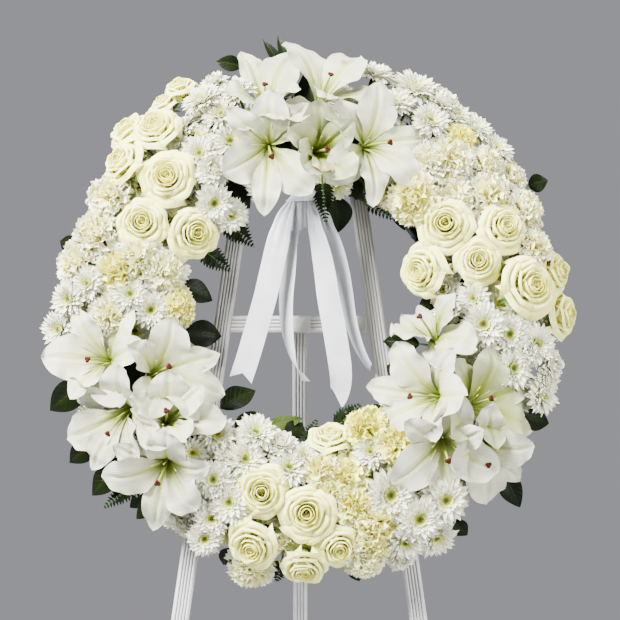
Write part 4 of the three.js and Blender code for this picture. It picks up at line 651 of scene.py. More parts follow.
def rose_head(acc, at, face, r, rng, small=False):
    """A half-open rose: a spiral bud and whorls of petals with rolled rims."""
    R = basis(face)
    NU, NV = (9, 11) if small else (11, 13)
    s = np.linspace(0, 1, NU)[:, None]
    t = np.linspace(-1, 1, NV)[None, :]
    spin = rng.uniform(0, 6.28)
    # whorls: petals, rim radius, crest height, half span, roll
    whorls = [(3, 0.17, 0.53, 1.50, 0.05), (4, 0.27, 0.57, 1.20, 0.15), (4, 0.39, 0.55, 1.10, 0.35), (5, 0.53, 0.49, 1.00, 0.60), (5, 0.71, 0.36, 0.93, 0.85), (5, 0.93, 0.16, 0.86, 1.05)]
    if small:
        whorls = [(3, 0.26, 0.56, 1.45, 0.10), (4, 0.46, 0.52, 1.10, 0.35), (5, 0.68, 0.38, 0.95, 0.8), (5, 0.93, 0.08, 0.86, 1.2)]
    # petals are laid closer on one side, as a real bloom never is quite round
    off = rng.uniform(-0.05, 0.05, 2) * r
    for w, (n, rim, top, span, roll) in enumerate(whorls):
        f = w / (len(whorls) - 1.0)
        for k in range(n):
            a = spin + w * 1.15 + k * 2 * np.pi / n + rng.uniform(-0.16, 0.16)
            R0 = r * rim * rng.uniform(0.93, 1.07)
            zt = r * (top + rng.uniform(-0.065, 0.05) * (0.5 + f))
            sp = span * rng.uniform(0.92, 1.08)
            # section: base, belly, crest, rolled rim
            rl = roll * rng.uniform(0.8, 1.2)
            kx = np.array([0.0, 0.35, 0.68, 0.86, 1.0])
            kr = np.array([0.10 * r + 0.25 * R0, 0.60 * R0 + 0.10 * r * (1 - f), 0.90 * R0 + 0.045 * r, R0 + 0.035 * r * rl, R0 + 0.105 * r * rl])
            kz = np.array([-0.55 * r, -0.10 * r + 0.25 * (zt), 0.60 * zt + 0.24 * r * (1 - 0.5 * f), zt + 0.02 * r, zt - 0.055 * r * rl])
            ss = np.linspace(0, 1, NU)
            deg = np.polyfit(kx, kr, 4), np.polyfit(kx, kz, 4)
            rad, z = np.polyval(deg[0], ss)[:, None], np.polyval(deg[1], ss)[:, None]
            # the sides of the rim roll back most, which leaves a soft point in the middle
            edge = np.abs(t) ** 2
            back = smooth(s, 0.62, 1.0) * edge * r
            ph = rng.uniform(0, 6.28, 3)
            wav = (0.034 * np.sin(2.6 * t + ph[0]) + 0.024 * np.sin(5.5 * t + ph[1]) + 0.010 * np.sin(10 * t + ph[2])) * r * smooth(s, 0.5, 1.0) * (0.4 + f)
            low = (1 - (1 - np.abs(t) ** 3.0) ** 0.6) * s ** 1.3
            zz = z - low * (zt + 0.55 * r) * (0.36 + 0.1 * f) - back * 0.15 * rl + wav
            rr = rad + back * 0.05 * rl + wav * 0.8 + 0.03 * r * np.exp(-(t / 0.25) ** 2) * smooth(s, 0.8, 1.0) * rl
            rr = rr - np.abs(t) ** 1.6 * 0.055 * r * (1 - 0.3 * f) * smooth(s, 0.2, 0.9)
            ang = a + t * sp * (0.5 + 0.5 * smooth(s, 0.0, 0.5))
            p = np.stack([rr * np.cos(ang) + off[0] * (1 - f) , rr * np.sin(ang) + off[1] * (1 - f), zz], -1)
            heart = 1 - smooth(f, 0.0, 0.75)
            col = mixc(IVORY + 0 * p, ROSE_INNER, np.clip(0.85 * heart + 0.45 * (1 - smooth(s, 0.45, 0.95)) + 0 * t, 0, 1))
            col = mixc(col, ROSE_DEEP, np.clip((1 - smooth(s, 0.15, 0.70)) * (0.75 - 0.25 * f) + 0 * t, 0, 1))
            col = mixc(col, ROSE_RIM, np.clip(0.75 * smooth(s, 0.80, 0.97) + 0 * t, 0, 1))
            if f > 0.7:
                g = rng.uniform(0.1, 0.45)
                col = mixc(col, (0.66, 0.76, 0.40), g * np.exp(-(t / 0.4) ** 2) * (1 - smooth(s, 0.3, 0.9)))
            acc.grids(p @ R.T + at, col * rng.uniform(0.97, 1.02), np.stack(np.broadcast_arrays(s, (t + 1) / 2), -1))
    # spiral bud: one petal rolled on itself
    turns = 2.7
    u = np.linspace(0, 1, 44)[:, None]; v = np.linspace(0, 1, 7)[None, :]
    ang = spin + 2 * np.pi * turns * u
    rad = r * (0.006 + 0.150 * u) * (0.75 + 0.32 * v)
    z = r * (-0.2 + (0.74 - 0.05 * u + 0.025 * np.sin(9 * u + spin)) * v)
    p = np.stack([rad * np.cos(ang) + off[0], rad * np.sin(ang) + off[1], z + 0 * ang], -1)
    col = mixc(ROSE_DEEP + 0 * p, ROSE_INNER, smooth(v, 0.3, 0.95) + 0 * u)
    col = mixc(col, ROSE_RIM, 0.5 * smooth(v, 0.86, 1.0) + 0 * u)
    acc.grids(p @ R.T + at, col, np.stack(np.broadcast_arrays(v, u), -1))
    # green calyx and sepals
    u = np.linspace(0, 1, 6)[:, None]; v = np.linspace(0, 2 * np.pi, 13)[None, :]
    rr = r * (0.10 + 0.30 * u ** 0.7) + 0 * v
    p = np.stack([rr * np.cos(v), rr * np.sin(v), r * (-0.86 + 0.36 * u) + 0 * v], -1)
    acc.grids(p @ R.T + at, CALYX, np.stack(np.broadcast_arrays(u, v / 6.283), -1), 1)
    for k in range(5):
        a = k * 1.2566 + rng.uniform(-0.1, 0.1)
        q = np.linspace(0, 1, 6)[:, None]; w = np.linspace(-1, 1, 3)[None, :]
        rad = r * (0.3 + 0.55 * q); zz = r * (-0.62 + 0.1 * q - 0.25 * q ** 2)
        lat = w * r * 0.13 * (1 - q) ** 0.6
        p = np.stack([rad * math.cos(a) - lat * math.sin(a), rad * math.sin(a) + lat * math.cos(a), zz + 0.04 * r * w ** 2], -1)
        acc.grids(p @ R.T + at, CALYX, np.stack(np.broadcast_arrays(q, (w + 1) / 2), -1), 1)


def rose(idx, spec, rng):
    at, face, r = np.array(spec[0]), np.array(spec[1]), spec[2] * 0.99
    acc = Acc()
    rose_head(acc, at, face, r, rng)
    acc.tube(stem_path(at - unit(face) * 0.8 * r, face, anchor(at)), 2.8, (0.10, 0.20, 0.05), 1, sides=8)
    return acc.build("rose_head_%02d" % idx, [M_ROSE, M_STEM], nodes=["rose_%02d" % idx], slot="rose_petal")


CARN_COLS = {
    0: ((0.96, 0.955, 0.77), (0.97, 0.93, 0.34)),
    1: ((0.97, 0.955, 0.46), (0.98, 0.89, 0.07)),
    2: ((0.98, 0.955, 0.24), (0.98, 0.90, 0.02)),
    3: ((0.97, 0.955, 0.58), (0.975, 0.91, 0.18)),
}


def carnation_head(acc, at, face, r, shade, rng, lean=False):
    """A dome of fringed, ruffled fan petals."""
    R = basis(face)
    outer, inner = (np.array(c) for c in CARN_COLS[shade])
    n, NU, NV = (40, 5, 9) if lean else (50, 6, 11)
    s = np.linspace(0, 1, NU)[:, None]
    t = np.linspace(-1, 1, NV)[None, :]
    for k in range(n):
        f = (k + 0.5) / n
        lift = math.radians(92 * f ** 0.62)      # angle from the axis
        a = k * 2.39996 + rng.uniform(-0.3, 0.3)
        ln = r * (0.98 + 0.14 * rng.uniform(-1, 1)) * (0.92 + 0.10 * f)
        half = r * rng.uniform(0.34, 0.46)
        # fan: narrow claw then a wide blade
        w = half * (0.12 + 0.88 * smooth(s, 0.30, 0.95)) * t
        teeth = 0.055 * r * np.where(np.arange(NV) % 2 == 0, 1, -1)[None, :] * smooth(s, 0.8, 1.0)
        rad = ln * (s - 0.10 * (t ** 2) * smooth(s, 0.5, 1.0)) + teeth * 0.8
        p1, p2 = rng.uniform(0, 6.28, 2)
        ruf = r * (0.105 * np.sin(t * rng.uniform(4.5, 7.0) + p1) + 0.05 * np.sin(t * 12 + p2)) * smooth(s, 0.45, 1.0)
        roll = rng.uniform(-0.16, 0.22) * r * smooth(s, 0.7, 1.0)
        d = np.array([math.sin(lift) * math.cos(a), math.sin(lift) * math.sin(a), math.cos(lift)])
        e1 = np.array([-math.sin(a), math.cos(a), 0.0])
        tw = rng.uniform(-1.3, 1.3)
        e2 = np.cross(d, e1)
        e1, e2 = e1 * math.cos(tw) + e2 * math.sin(tw), -e1 * math.sin(tw) + e2 * math.cos(tw)
        p = rad[..., None] * d + w[..., None] * e1 + (ruf + roll)[..., None] * e2
        p[..., 2] = p[..., 2] * 0.80 - 0.22 * r
        deep = np.clip(1 - s * 1.02, 0, 1) ** 0.7
        col = mixc(outer + 0 * p, inner, np.clip(0.9 * (1 - smooth(f, 0.1, 0.7)) * 0.6 + deep * 0.75 + 0 * t, 0, 1))
        col = col * (0.97 + 0.05 * rng.random())
        if shade == 3 and rng.random() < 0.5:
            col = mixc(col, (0.66, 0.46, 0.22), 0.24 * smooth(s, 0.75, 1.0) * (rng.random((1, NV)) > 0.6))
        uv = np.stack(np.broadcast_arrays(s, (t + 1) / 2), -1)
        acc.grids(p @ R.T + at, col, uv)
    u = np.linspace(0, 1, 5)[:, None]; v = np.linspace(0, 2 * np.pi, 11)[None, :]
    rr = r * (0.14 + 0.16 * u) + 0 * v
    p = np.stack([rr * np.cos(v), rr * np.sin(v), r * (-1.05 + 0.75 * u) + 0 * v], -1)
    acc.grids(p @ R.T + at, (0.20, 0.33, 0.13), np.stack(np.broadcast_arrays(u, v / 6.283), -1), 1)


def mum_head(acc, at, face, r, rng, cushion=False, lean=False):
    """A daisy chrysanthemum: rings of narrow spooned petals about a green disc."""
    R = basis(face)
    # petals, length, opening angle, half width
    rows = [(22, 1.0, 90, 0.110), (22, 1.0, 78, 0.110), (21, 0.92, 64, 0.105), (18, 0.78, 50, 0.095), (15, 0.60, 36, 0.085), (12, 0.42, 22, 0.070)] if not cushion else \
           [(22, 1.0, 92, 0.120), (22, 1.0, 76, 0.120), (22, 0.95, 60, 0.115), (18, 0.86, 45, 0.115), (13, 0.74, 29, 0.110), (8, 0.62, 13, 0.100)]
    NU, NV = (5, 3) if lean else (6, 4)
    if lean:
        rows = rows[:-1]
    s = np.linspace(0, 1, NU)[None, :, None]
    t = np.linspace(-1, 1, NV)[None, None, :]
    for row, (n, ln, opn, hw) in enumerate(rows):
        k = np.arange(n)
        a = (k + 0.5 * (row % 2)) * 2 * np.pi / n + rng.uniform(-0.11, 0.11, n) + row
        th = np.radians(opn + rng.uniform(-8, 8, n))
        L = r * ln * rng.uniform(0.86, 1.08, n)
        a, th, L = a[:, None, None], th[:, None, None], L[:, None, None]
        half = r * hw * rng.uniform(0.85, 1.15, n)[:, None, None]
        w = half * (0.50 + 0.50 * smooth(s, 0.0, 0.45)) * np.clip(1 - s ** 6, 0, 1) ** 0.5 * t
        base = r * (0.10 if cushion else 0.16)
        rad = base + (L - base * 0.6) * np.sin(th) * s ** 1.05
        z = L * np.cos(th) * s ** 0.9
        arch = r * 0.10 * np.sin(np.pi * s) * (1 if not cushion else 1.5)
        tipc = rng.uniform(-0.02, 0.10, n)[:, None, None] * r * smooth(s, 0.7, 1.0)
        z = z + arch + tipc + r * 0.060 * (t ** 2) * smooth(s, 0.05, 0.4)
        if cushion:
            rad = rad - 0.20 * r * smooth(s, 0.6, 1.0) * (np.cos(th) + 0.15)
        ca, sa = np.cos(a), np.sin(a)
        p = np.stack([rad * ca - w * sa, rad * sa + w * ca, z + 0 * w - 0.12 * r], -1)
        inner = row / (len(rows) - 1.0)
        green = np.clip((1 - smooth(s, 0.02, 0.50)) * (0.35 + 0.4 * inner) + (0.0 if cushion else 0.55 * smooth(inner, 0.7, 1.0)), 0, 1) + 0 * t * L
        col = mixc(np.array(MUM_WHITE) + 0 * p, (0.72, 0.74, 0.07), green)
        shade = rng.uniform(0.95, 1.03, n)[:, None, None, None]
        uv = np.stack(np.broadcast_arrays(s + 0 * L, (t + 1) / 2 + 0 * L), -1)
        acc.grids(p @ R.T + at, col * shade, uv)
    # disc
    u = np.linspace(0, 1, 7)[:, None]; v = np.linspace(0, 2 * np.pi, 17)[None, :]
    dr = r * (0.24 if not cushion else 0.12)
    rr = dr * np.sin(u * 1.57) + 0 * v
    zz = 0.14 * r * np.cos(u * 1.57) + r * (0.05 if not cushion else 0.2) + 0 * v - 0.10 * r * np.exp(-(rr / (0.35 * dr)) ** 2)
    p = np.stack([rr * np.cos(v), rr * np.sin(v), zz], -1)
    cd = mixc(np.array([0.045, 0.075, 0.006]) + 0 * p, (0.62, 0.62, 0.02), smooth(u, 0.25, 0.62) + 0 * v)
    acc.grids(p @ R.T + at, cd, np.stack(np.broadcast_arrays(u, v / 6.283), -1), 2)
    # green cup behind
    u = np.linspace(0, 1, 4)[:, None]; v = np.linspace(0, 2 * np.pi, 11)[None, :]
    rr = r * (0.05 + 0.20 * u) + 0 * v
    p = np.stack([rr * np.cos(v), rr * np.sin(v), r * (-0.34 + 0.2 * u) + 0 * v], -1)
    acc.grids(p @ R.T + at, CALYX, np.stack(np.broadcast_arrays(u, v / 6.283), -1), 1)


def spray(name, spec, rng, mats, slot, extra=()):
    """Several heads that share one branching stem."""
    acc = Acc()
    heads = [(np.array(h[0]), np.array(h[1]), h[2]) + tuple(h[3:]) for h in spec["heads"]]
    kind = spec["kind"]
    for k, h in enumerate(list(heads) + list(extra)):
        if kind == "rose":
            rose_head(acc, h[0], h[1], h[2] * 1.1, rng, small=True)
        elif kind == "carnation":
            carnation_head(acc, h[0], h[1], h[2] * 1.16, h[3] if len(h) > 3 else 0, rng, lean=k >= len(heads))
        else:
            mum_head(acc, h[0], h[1], h[2] * 1.24, rng, cushion=bool(len(h) > 3 and h[3]) or rng.random() < 0.10, lean=k >= len(heads))
    back = 0.2 if kind == "mum" else 0.62
    under = [h[0] - unit(h[1]) * back * h[2] for h in heads]
    joined = [0]
    while len(joined) < len(heads):
        best = min(((np.linalg.norm(under[i] - under[j]), i, j) for i in joined for j in range(len(heads)) if j not in joined))
        a, b = under[best[1]], under[best[2]]
        mid = (a + b) / 2 + np.array([0, 9.0, 0])
        q = np.linspace(0, 1, 7)[:, None]
        acc.tube((1 - q) ** 2 * a + 2 * q * (1 - q) * mid + q * q * b, 1.6, (0.12, 0.22, 0.06), 1, sides=6)
        joined.append(best[2])
    for h in list(heads) + list(extra):
        root = h[0] - unit(h[1]) * back * h[2]
        acc.tube(stem_path(root, h[1], anchor(h[0])), 1.9, (0.10, 0.20, 0.05), 1, sides=6)
    return acc.build(name + "_heads", mats, nodes=[name], slot=slot)




# ---------------------------------------------------------------- leaves
GREEN_DARK = np.array([0.0030, 0.0062, 0.0007])
GREEN_MID = np.array([0.0055, 0.0125, 0.0013])
GREEN_PALE = np.array([0.045, 0.070, 0.014])
GREEN_NARROW = np.array([0.0030, 0.0070, 0.0009])


def leaf_blade(acc, base, tip, half, col, rng, normal=None, fold=0.30, curl=0.12, teeth=0.0, mat=0, twist=0.0, shape=0.46, fine=(12, 7)):
    base, tip = np.asarray(base, float), np.asarray(tip, float)
    d = tip - base
    ln = np.linalg.norm(d)
    z = d / ln
    nrm = np.array([0, -1.0, 0]) if normal is None else np.asarray(normal, float)
    nrm = nrm + rng.uniform(-0.22, 0.22, 3)
    nrm = unit(nrm - z * nrm.dot(z))
    side = np.cross(nrm, z)
    NU, NV = fine
    s = np.linspace(0, 1, NU)[:, None]
    t = np.linspace(-1, 1, NV)[None, :]
    prof = np.sin(np.pi * s ** (math.log(0.5) / math.log(shape))) ** 0.82 * (1 - 0.25 * s ** 4)
    prof = np.clip(prof, 0.0, 1) + 0.012
    w = half * prof * (1 + teeth * 0.07 * np.sign(np.sin(s * 60)) * (np.abs(t) > 0.9)) * t
    ph = rng.uniform(0, 6.28)
    h = fold * np.abs(w) + curl * ln * (s - s * s) * 1.2 - curl * ln * 0.9 * s ** 3
    h = h + 0.05 * half * np.sin(s * 9 + ph) * np.abs(t) * 1.3 - 0.06 * np.abs(t) ** 3 * half
    tw = twist * s
    sx = w * np.cos(tw) - h * np.sin(tw) * 0.2
    p = base + z * (s * ln + 0 * t)[..., None] + side * sx[..., None] + nrm * (h + w * np.sin(tw))[..., None]
    shade = rng.uniform(0.8, 1.25)
    c = np.asarray(col) * shade + 0 * p
    c = mixc(c, np.asarray(col) * 1.8 + (0.006, 0.010, 0.0), 0.3 * np.exp(-(np.abs(t) / 0.07) ** 2) + 0 * s)
    acc.grids(p, c, np.stack(np.broadcast_arrays(s, (t + 1) / 2), -1), mat)
    return z


def petiole(acc, base, z, root, r=1.0, mat=1):
    """A stalk from the leaf's base back into the foam."""
    base, root = np.asarray(base, float), np.asarray(root, float)
    k = 0.35 * np.linalg.norm(base - root)
    q = np.linspace(0, 1, 8)[:, None]
    c1, c2 = base - z * k, root + np.array([0, -1, 0]) * k * 0.6
    pth = (1 - q) ** 3 * (base + z * 1.0) + 3 * (1 - q) ** 2 * q * c1 + 3 * (1 - q) * q * q * c2 + q ** 3 * root
    acc.tube(pth, np.linspace(r * 0.8, r, 8), (0.055, 0.11, 0.03), mat, sides=6)


def fern(acc, base, tip, half, rng, mat=0, normal=None):
    """A fern frond's end: a rachis with toothed pinnae in two ranks."""
    base, tip = np.asarray(base, float), np.asarray(tip, float)
    d = tip - base
    ln = np.linalg.norm(d)
    z = d / ln
    nrm = np.array([0, -1.0, 0]) if normal is None else np.asarray(normal, float)
    nrm = unit(nrm - z * nrm.dot(z))
    side = np.cross(nrm, z)
    n = max(7, int(ln / 5.0))
    q = np.linspace(0, 1, 12)[:, None]
    droop = 0.10 * ln
    acc.tube(base + z * q * ln - nrm * droop * q ** 2, np.linspace(1.0, 0.35, 12), (0.05, 0.10, 0.025), 1, sides=5)
    for k in range(n):
        f = 0.08 + 0.9 * k / n
        root = base + z * f * ln - nrm * droop * f ** 2
        L = half * 1.25 * (math.sin(math.pi * min(1, f * 0.9 + 0.18)) ** 0.6 * (1 - 0.72 * f) + 0.12)
        for sg in (-1, 1):
            dirn = unit(side * sg * 0.88 + z * 0.48 + nrm * rng.uniform(-0.12, 0.12))
            leaf_blade(acc, root, root + dirn * L, max(1.4, L * 0.20), (0.0035, 0.0085, 0.0015), rng, normal=nrm, fold=0.2, curl=0.06, teeth=2.2, mat=mat, shape=0.36, fine=(8, 5))


def foam_root(p, depth=16.0):
    p = np.asarray(p, float)
    rho = math.hypot(p[0], p[2])
    r = min(FOAM_OUTER - 12, max(FOAM_INNER + 12, rho))
    return np.array([p[0] / rho * r, -FOAM_DEPTH + depth - 8, p[2] / rho * r])


def foliage(rng):
    outer, inner = Acc(), Acc()
    kinds = {0: (GREEN_DARK, 0.46, 0.26, 0.10), 1: (GREEN_NARROW, 0.42, 0.30, 0.10), 2: (GREEN_PALE, 0.45, 0.25, 0.06)}
    for base, tip, half, kind in LEAVES:
        acc = outer if math.hypot(base[0], base[2]) > CORE else inner
        base, tip = np.array(base), np.array(tip)
        if kind == 3:
            fern(acc, base, tip, half * 1.25, rng, mat=2)
            z = unit(tip - base)
        else:
            col, shp, fold, curl = kinds[kind]
            z = leaf_blade(acc, base, tip, half * 1.10, col, rng, fold=fold, curl=curl, shape=shp)
        petiole(acc, base, z, foam_root(base), r=1.5)
    # leaves that dress the rims and the front of the foam under the blooms
    def ring_leaf(acc, ang, r0, y0, outward, forward, ln, half, col):
        c, s = math.cos(ang), math.sin(ang)
        base = np.array([r0 * c, y0, r0 * s])
        tang = rng.uniform(-0.55, 0.55)
        d = unit(np.array([c * outward - s * tang, -forward, s * outward + c * tang]))
        nrm = np.array([c * forward, -abs(outward) - 0.25, s * forward]) if outward > 0 else np.array([-c * forward, -abs(outward) - 0.25, -s * forward])
        z = leaf_blade(acc, base, base + d * ln, half, col, rng, normal=nrm, fold=0.22, curl=rng.uniform(0.02, 0.16))
        petiole(acc, base, z, foam_root(base), r=0.9)
    n = 74
    for k in range(n):
        a = 2 * math.pi * (k + rng.uniform(-0.3, 0.3)) / n
        ring_leaf(outer, a, FOAM_OUTER + rng.uniform(-1, 3), rng.uniform(-24, -8), rng.uniform(0.42, 0.62), rng.uniform(0.55, 1.1), rng.uniform(30, 42), rng.uniform(10, 15), GREEN_DARK if rng.random() < 0.7 else GREEN_MID)
    n = 66
    for k in range(n):
        a = 2 * math.pi * (k + rng.uniform(-0.3, 0.3)) / n
        ring_leaf(outer, a, FOAM_OUTER - rng.uniform(4, 12), -FOAM_DEPTH - 0.5, rng.uniform(0.5, 0.8), rng.uniform(0.35, 0.7), rng.uniform(28, 40), rng.uniform(10, 14), GREEN_DARK)
    n = 52
    for k in range(n):
        a = 2 * math.pi * (k + rng.uniform(-0.3, 0.3)) / n
        ring_leaf(inner, a, FOAM_INNER - rng.uniform(-1, 2), rng.uniform(-26, -10), rng.uniform(-0.34, -0.16), rng.uniform(0.6, 1.1), rng.uniform(22, 32), rng.uniform(8, 12), GREEN_DARK if rng.random() < 0.7 else GREEN_MID)
    n = 120
    for k in range(n):
        a = 2 * math.pi * (k * 0.618034 % 1.0)
        rr = FOAM_INNER + 8 + (FOAM_OUTER - FOAM_INNER - 16) * rng.random()
        ring_leaf(inner, a, rr, -FOAM_DEPTH + 1, rng.uniform(-0.7, 0.7), rng.uniform(0.18, 0.5), rng.uniform(30, 44), rng.uniform(11, 16), GREEN_DARK if rng.random() < 0.75 else GREEN_MID)
    outer.build("foliage_outer_leaves", [M_LEAF, M_STEM, M_FERN], nodes=["foliage_outer"], slot="leaf")
    inner.build("foliage_inner_leaves", [M_LEAF, M_STEM, M_FERN], nodes=["foliage_inner"], slot="leaf")


# ---------------------------------------------------------------- ribbon


def spline(rows, n):
    """Catmull-Rom through rows of numbers, n samples, even in chord length."""
    rows = np.asarray(rows, float)
    p = np.concatenate([[2 * rows[0] - rows[1]], rows, [2 * rows[-1] - rows[-2]]])
    out = []
    m = len(rows) - 1
    per = 24
    for i in range(m):
        a, b, c, d = p[i], p[i + 1], p[i + 2], p[i + 3]
        t = np.linspace(0, 1, per, endpoint=False)[:, None]
        out.append(0.5 * ((2 * b) + (c - a) * t + (2 * a - 5 * b + 4 * c - d) * t * t + (3 * b - a - 3 * c + d) * t ** 3))
    out.append(rows[-1:])
    q = np.concatenate(out)
    L = np.concatenate([[0], np.cumsum(np.linalg.norm(np.diff(q[:, :3], axis=0), axis=1))])
    u = np.linspace(0, L[-1], n)
    return np.stack([np.interp(u, L, q[:, k]) for k in range(q.shape[1])], 1), L[-1]


def ribbon_tail(name, node, rows, rng, cut="square"):
    """rows: x, y, z of the middle line (object frame, mm), yaw in degrees, pleat 0..1."""
    n = 90
    m = 25
    q, length = spline(rows, n)
    c, yaw, pleat = q[:, :3], np.radians(q[:, 3]), q[:, 4]
    t = unit(np.gradient(c, axis=0))
    front = np.array([0, -1.0, 0])
    f = unit(front - t * (t @ front)[:, None])
    side = np.cross(t, f)
    side = side * np.sign(side[:, :1])
    ax = side * np.cos(yaw)[:, None] + f * np.sin(yaw)[:, None]
    up = -np.cross(ax, t)
    u = np.linspace(-0.5, 0.5, m)
    pts = np.zeros((n, m, 3))
    phase = rng.uniform(0, 6.28)
    for i in range(n):
        amp = pleat[i]
        # section: an even bow plus pleats, its arc length kept at the ribbon's width
        fine = np.linspace(-0.5, 0.5, 161)
        hh = RIBBON_W * (0.020 * np.cos(fine * np.pi) + amp * 0.12 * np.sin(fine * 2 * np.pi * 2.4 + phase))
        lo, hi = 0.05, 1.0
        for _ in range(26):
            k = (lo + hi) / 2
            L = np.hypot(np.diff(fine) * RIBBON_W * k, np.diff(hh)).sum()
            if L > RIBBON_W: hi = k
            else: lo = k
        xx = fine * RIBBON_W * k
        seg = np.concatenate([[0], np.cumsum(np.hypot(np.diff(xx), np.diff(hh)))])
        want = (u + 0.5) * seg[-1]
        X, H = np.interp(want, seg, xx), np.interp(want, seg, hh)
        pts[i] = c[i] + ax[i] * X[:, None] + up[i] * H[:, None]
    s = np.linspace(0, 1, n)
    # the cut end: rows near the end are drawn back towards the fork or the slant
    if cut == "fork":
        depth = 9.0 * (1 - np.abs(u) * 2)
    else:
        depth = 10.0 * (u + 0.5) if cut == "slant" else 10.0 * (0.5 - u)
    run = s[:, None] * (length - depth[None, :]) / length
    ii = run * (n - 1)
    lo = np.clip(np.floor(ii).astype(int), 0, n - 2)
    fr = (ii - lo)[..., None]
    jj = np.broadcast_to(np.arange(m)[None, :], lo.shape)
    pts = pts[lo, jj] * (1 - fr) + pts[lo + 1, jj] * fr
    acc = Acc()
    uv = np.stack(np.broadcast_arrays(run * length / 28.0, u[None, :] + 0.5), -1)
    acc.grids(pts * 0.001, (0.85, 0.85, 0.87), uv)
    o = acc.build(name, [M_SATIN], nodes=[node], slot="satin", ring_frame=False)
    return o


def ribbon_knot(rng):
    """The gathered top of the tails, with its band and the wired pick that holds it."""
    acc = Acc()
    n, m = 34, 120
    u = np.linspace(0, 1, n)[:, None]           # 0 at the band, 1 at the skirt's lower edge
    v = np.linspace(0, 2 * np.pi, m)[None, :]
    half_x = 16.0 + 3.5 * u ** 1.2
    half_y = 6.0 + 0.5 * u - 4.5 * smooth(u, 0.6, 1.0)
    fold = 1 + (0.035 + 0.085 * u) * np.sin(15 * v + 1.5 * np.sin(2 * v)) + 0.03 * np.sin(31 * v)
    x = 1 - 3.0 * u + half_x * fold * np.cos(v)
    y = -66 + half_y * fold * np.sin(v)
    z = 152 - 9 * u + 0 * v
    acc.grids(np.stack(np.broadcast_arrays(x, y, z), -1), (0.85, 0.85, 0.87), np.stack(np.broadcast_arrays(u, v / 6.283), -1))
    # head of the gather above the band
    u = np.linspace(0, 1, 12)[:, None]
    half = np.cos(u * 1.5)
    x = 1 + 16.0 * half * (1 + 0.05 * np.sin(15 * v)) * np.cos(v)
    y = -66 + 6.4 * half * (1 + 0.05 * np.sin(15 * v)) * np.sin(v)
    z = 152 + 9 * np.sin(u * 1.5) + 0 * v
    acc.grids(np.stack(np.broadcast_arrays(x, y, z), -1), (0.85, 0.85, 0.87), np.stack(np.broadcast_arrays(u, v / 6.283), -1))
    # band
    a = np.linspace(0, 2 * np.pi, 61)[:, None]
    w = np.linspace(-1, 1, 9)[None, :]
    bulge = 1.2 * np.cos(w * 1.57) + 0.3 * np.sin(7 * w)
    bx = 1 + (16.5 + bulge) * np.cos(a)
    by = -66 + (6.9 + bulge) * np.sin(a)
    bz = 152 + 5.0 * w + 0 * a
    acc.grids(np.stack(np.broadcast_arrays(bx, by, bz), -1), (0.86, 0.86, 0.88), np.stack(np.broadcast_arrays(a / 3.14, (w + 1) / 2), -1))
    # back layer of the gather: a pleated fan behind the tails
    u = np.linspace(0, 1, 16)[:, None]
    v = np.linspace(-1, 1, 70)[None, :]
    x = 0.5 + (16.0 + 10.0 * u ** 0.9) * v
    pleats = np.sin(v * 17 + 2.0 * np.sin(3 * v)) * (0.9 + 0.9 * u)
    y = -60.0 + 5.5 * u + pleats - 2.0 * v ** 2
    z = 150 - (38 + 5 * np.abs(v) - 2.0 * np.cos(17 * v)) * u
    # painted shade: the back layer's colour attribute is a little darker (0.83); the satin material does not read it
    acc.grids(np.stack(np.broadcast_arrays(x, y, z), -1), (0.83, 0.83, 0.85), np.stack(np.broadcast_arrays(u, v / 2 + 0.5), -1))
    q = np.linspace(0, 1, 9)[:, None]
    p0, p1 = np.array([0, -64.0, 150.0]), np.array([0, -33.0, 194.0])
    acc.tube(p0 + q * (p1 - p0) + np.array([0, -4.0, 0]) * np.sin(q * np.pi), 1.5, (0.12, 0.20, 0.07), 1, sides=8)
    return acc.build("ribbon_knot_gathers", [M_SATIN, M_STEM], nodes=["ribbon_knot"], slot="satin")


# ---------------------------------------------------------------- easel
PAINT = np.array([0.54, 0.53, 0.52])
# painted shade: near-black colour laid into the bottoms of the reeding grooves
GROOVE_PAINTED_SHADE = np.array([0.060, 0.050, 0.042])


def slat_section(w, t, beads, depth):
    """Outline round a reeded slat: (across, through) and how much painted groove shade each point gets, by how deep in
    a groove it is.
    """
    pts, groove_shade = [], []
    pitch = (w - 2.6) / beads
    for k in range(beads):
        for j in range(9):
            f = j / 8.0
            if k and j == 0:
                continue
            x = -w / 2 + 1.3 + pitch * (k + f)
            g = abs(2 * f - 1) ** 2.6
            edge = (k == 0 and f < 0.5) or (k == beads - 1 and f > 0.5)
            pts.append((x, depth * g * (0.55 if edge else 1.0)))
            groove_shade.append(0.0 if edge else smooth(g, 0.18, 0.95))
    e = 0.9
    for (x, y) in ((w / 2 - 0.25, 0.55 * depth + 0.4), (w / 2, 1.9), (w / 2, t / 2), (w / 2, t - e), (w / 2 - e, t), (0, t), (-w / 2 + e, t), (-w / 2, t - e), (-w / 2, t / 2), (-w / 2, 1.9), (-w / 2 + 0.25, 0.55 * depth + 0.4)):
        pts.append((x, y)); groove_shade.append(0.05)
    return np.array(pts), np.array(groove_shade)


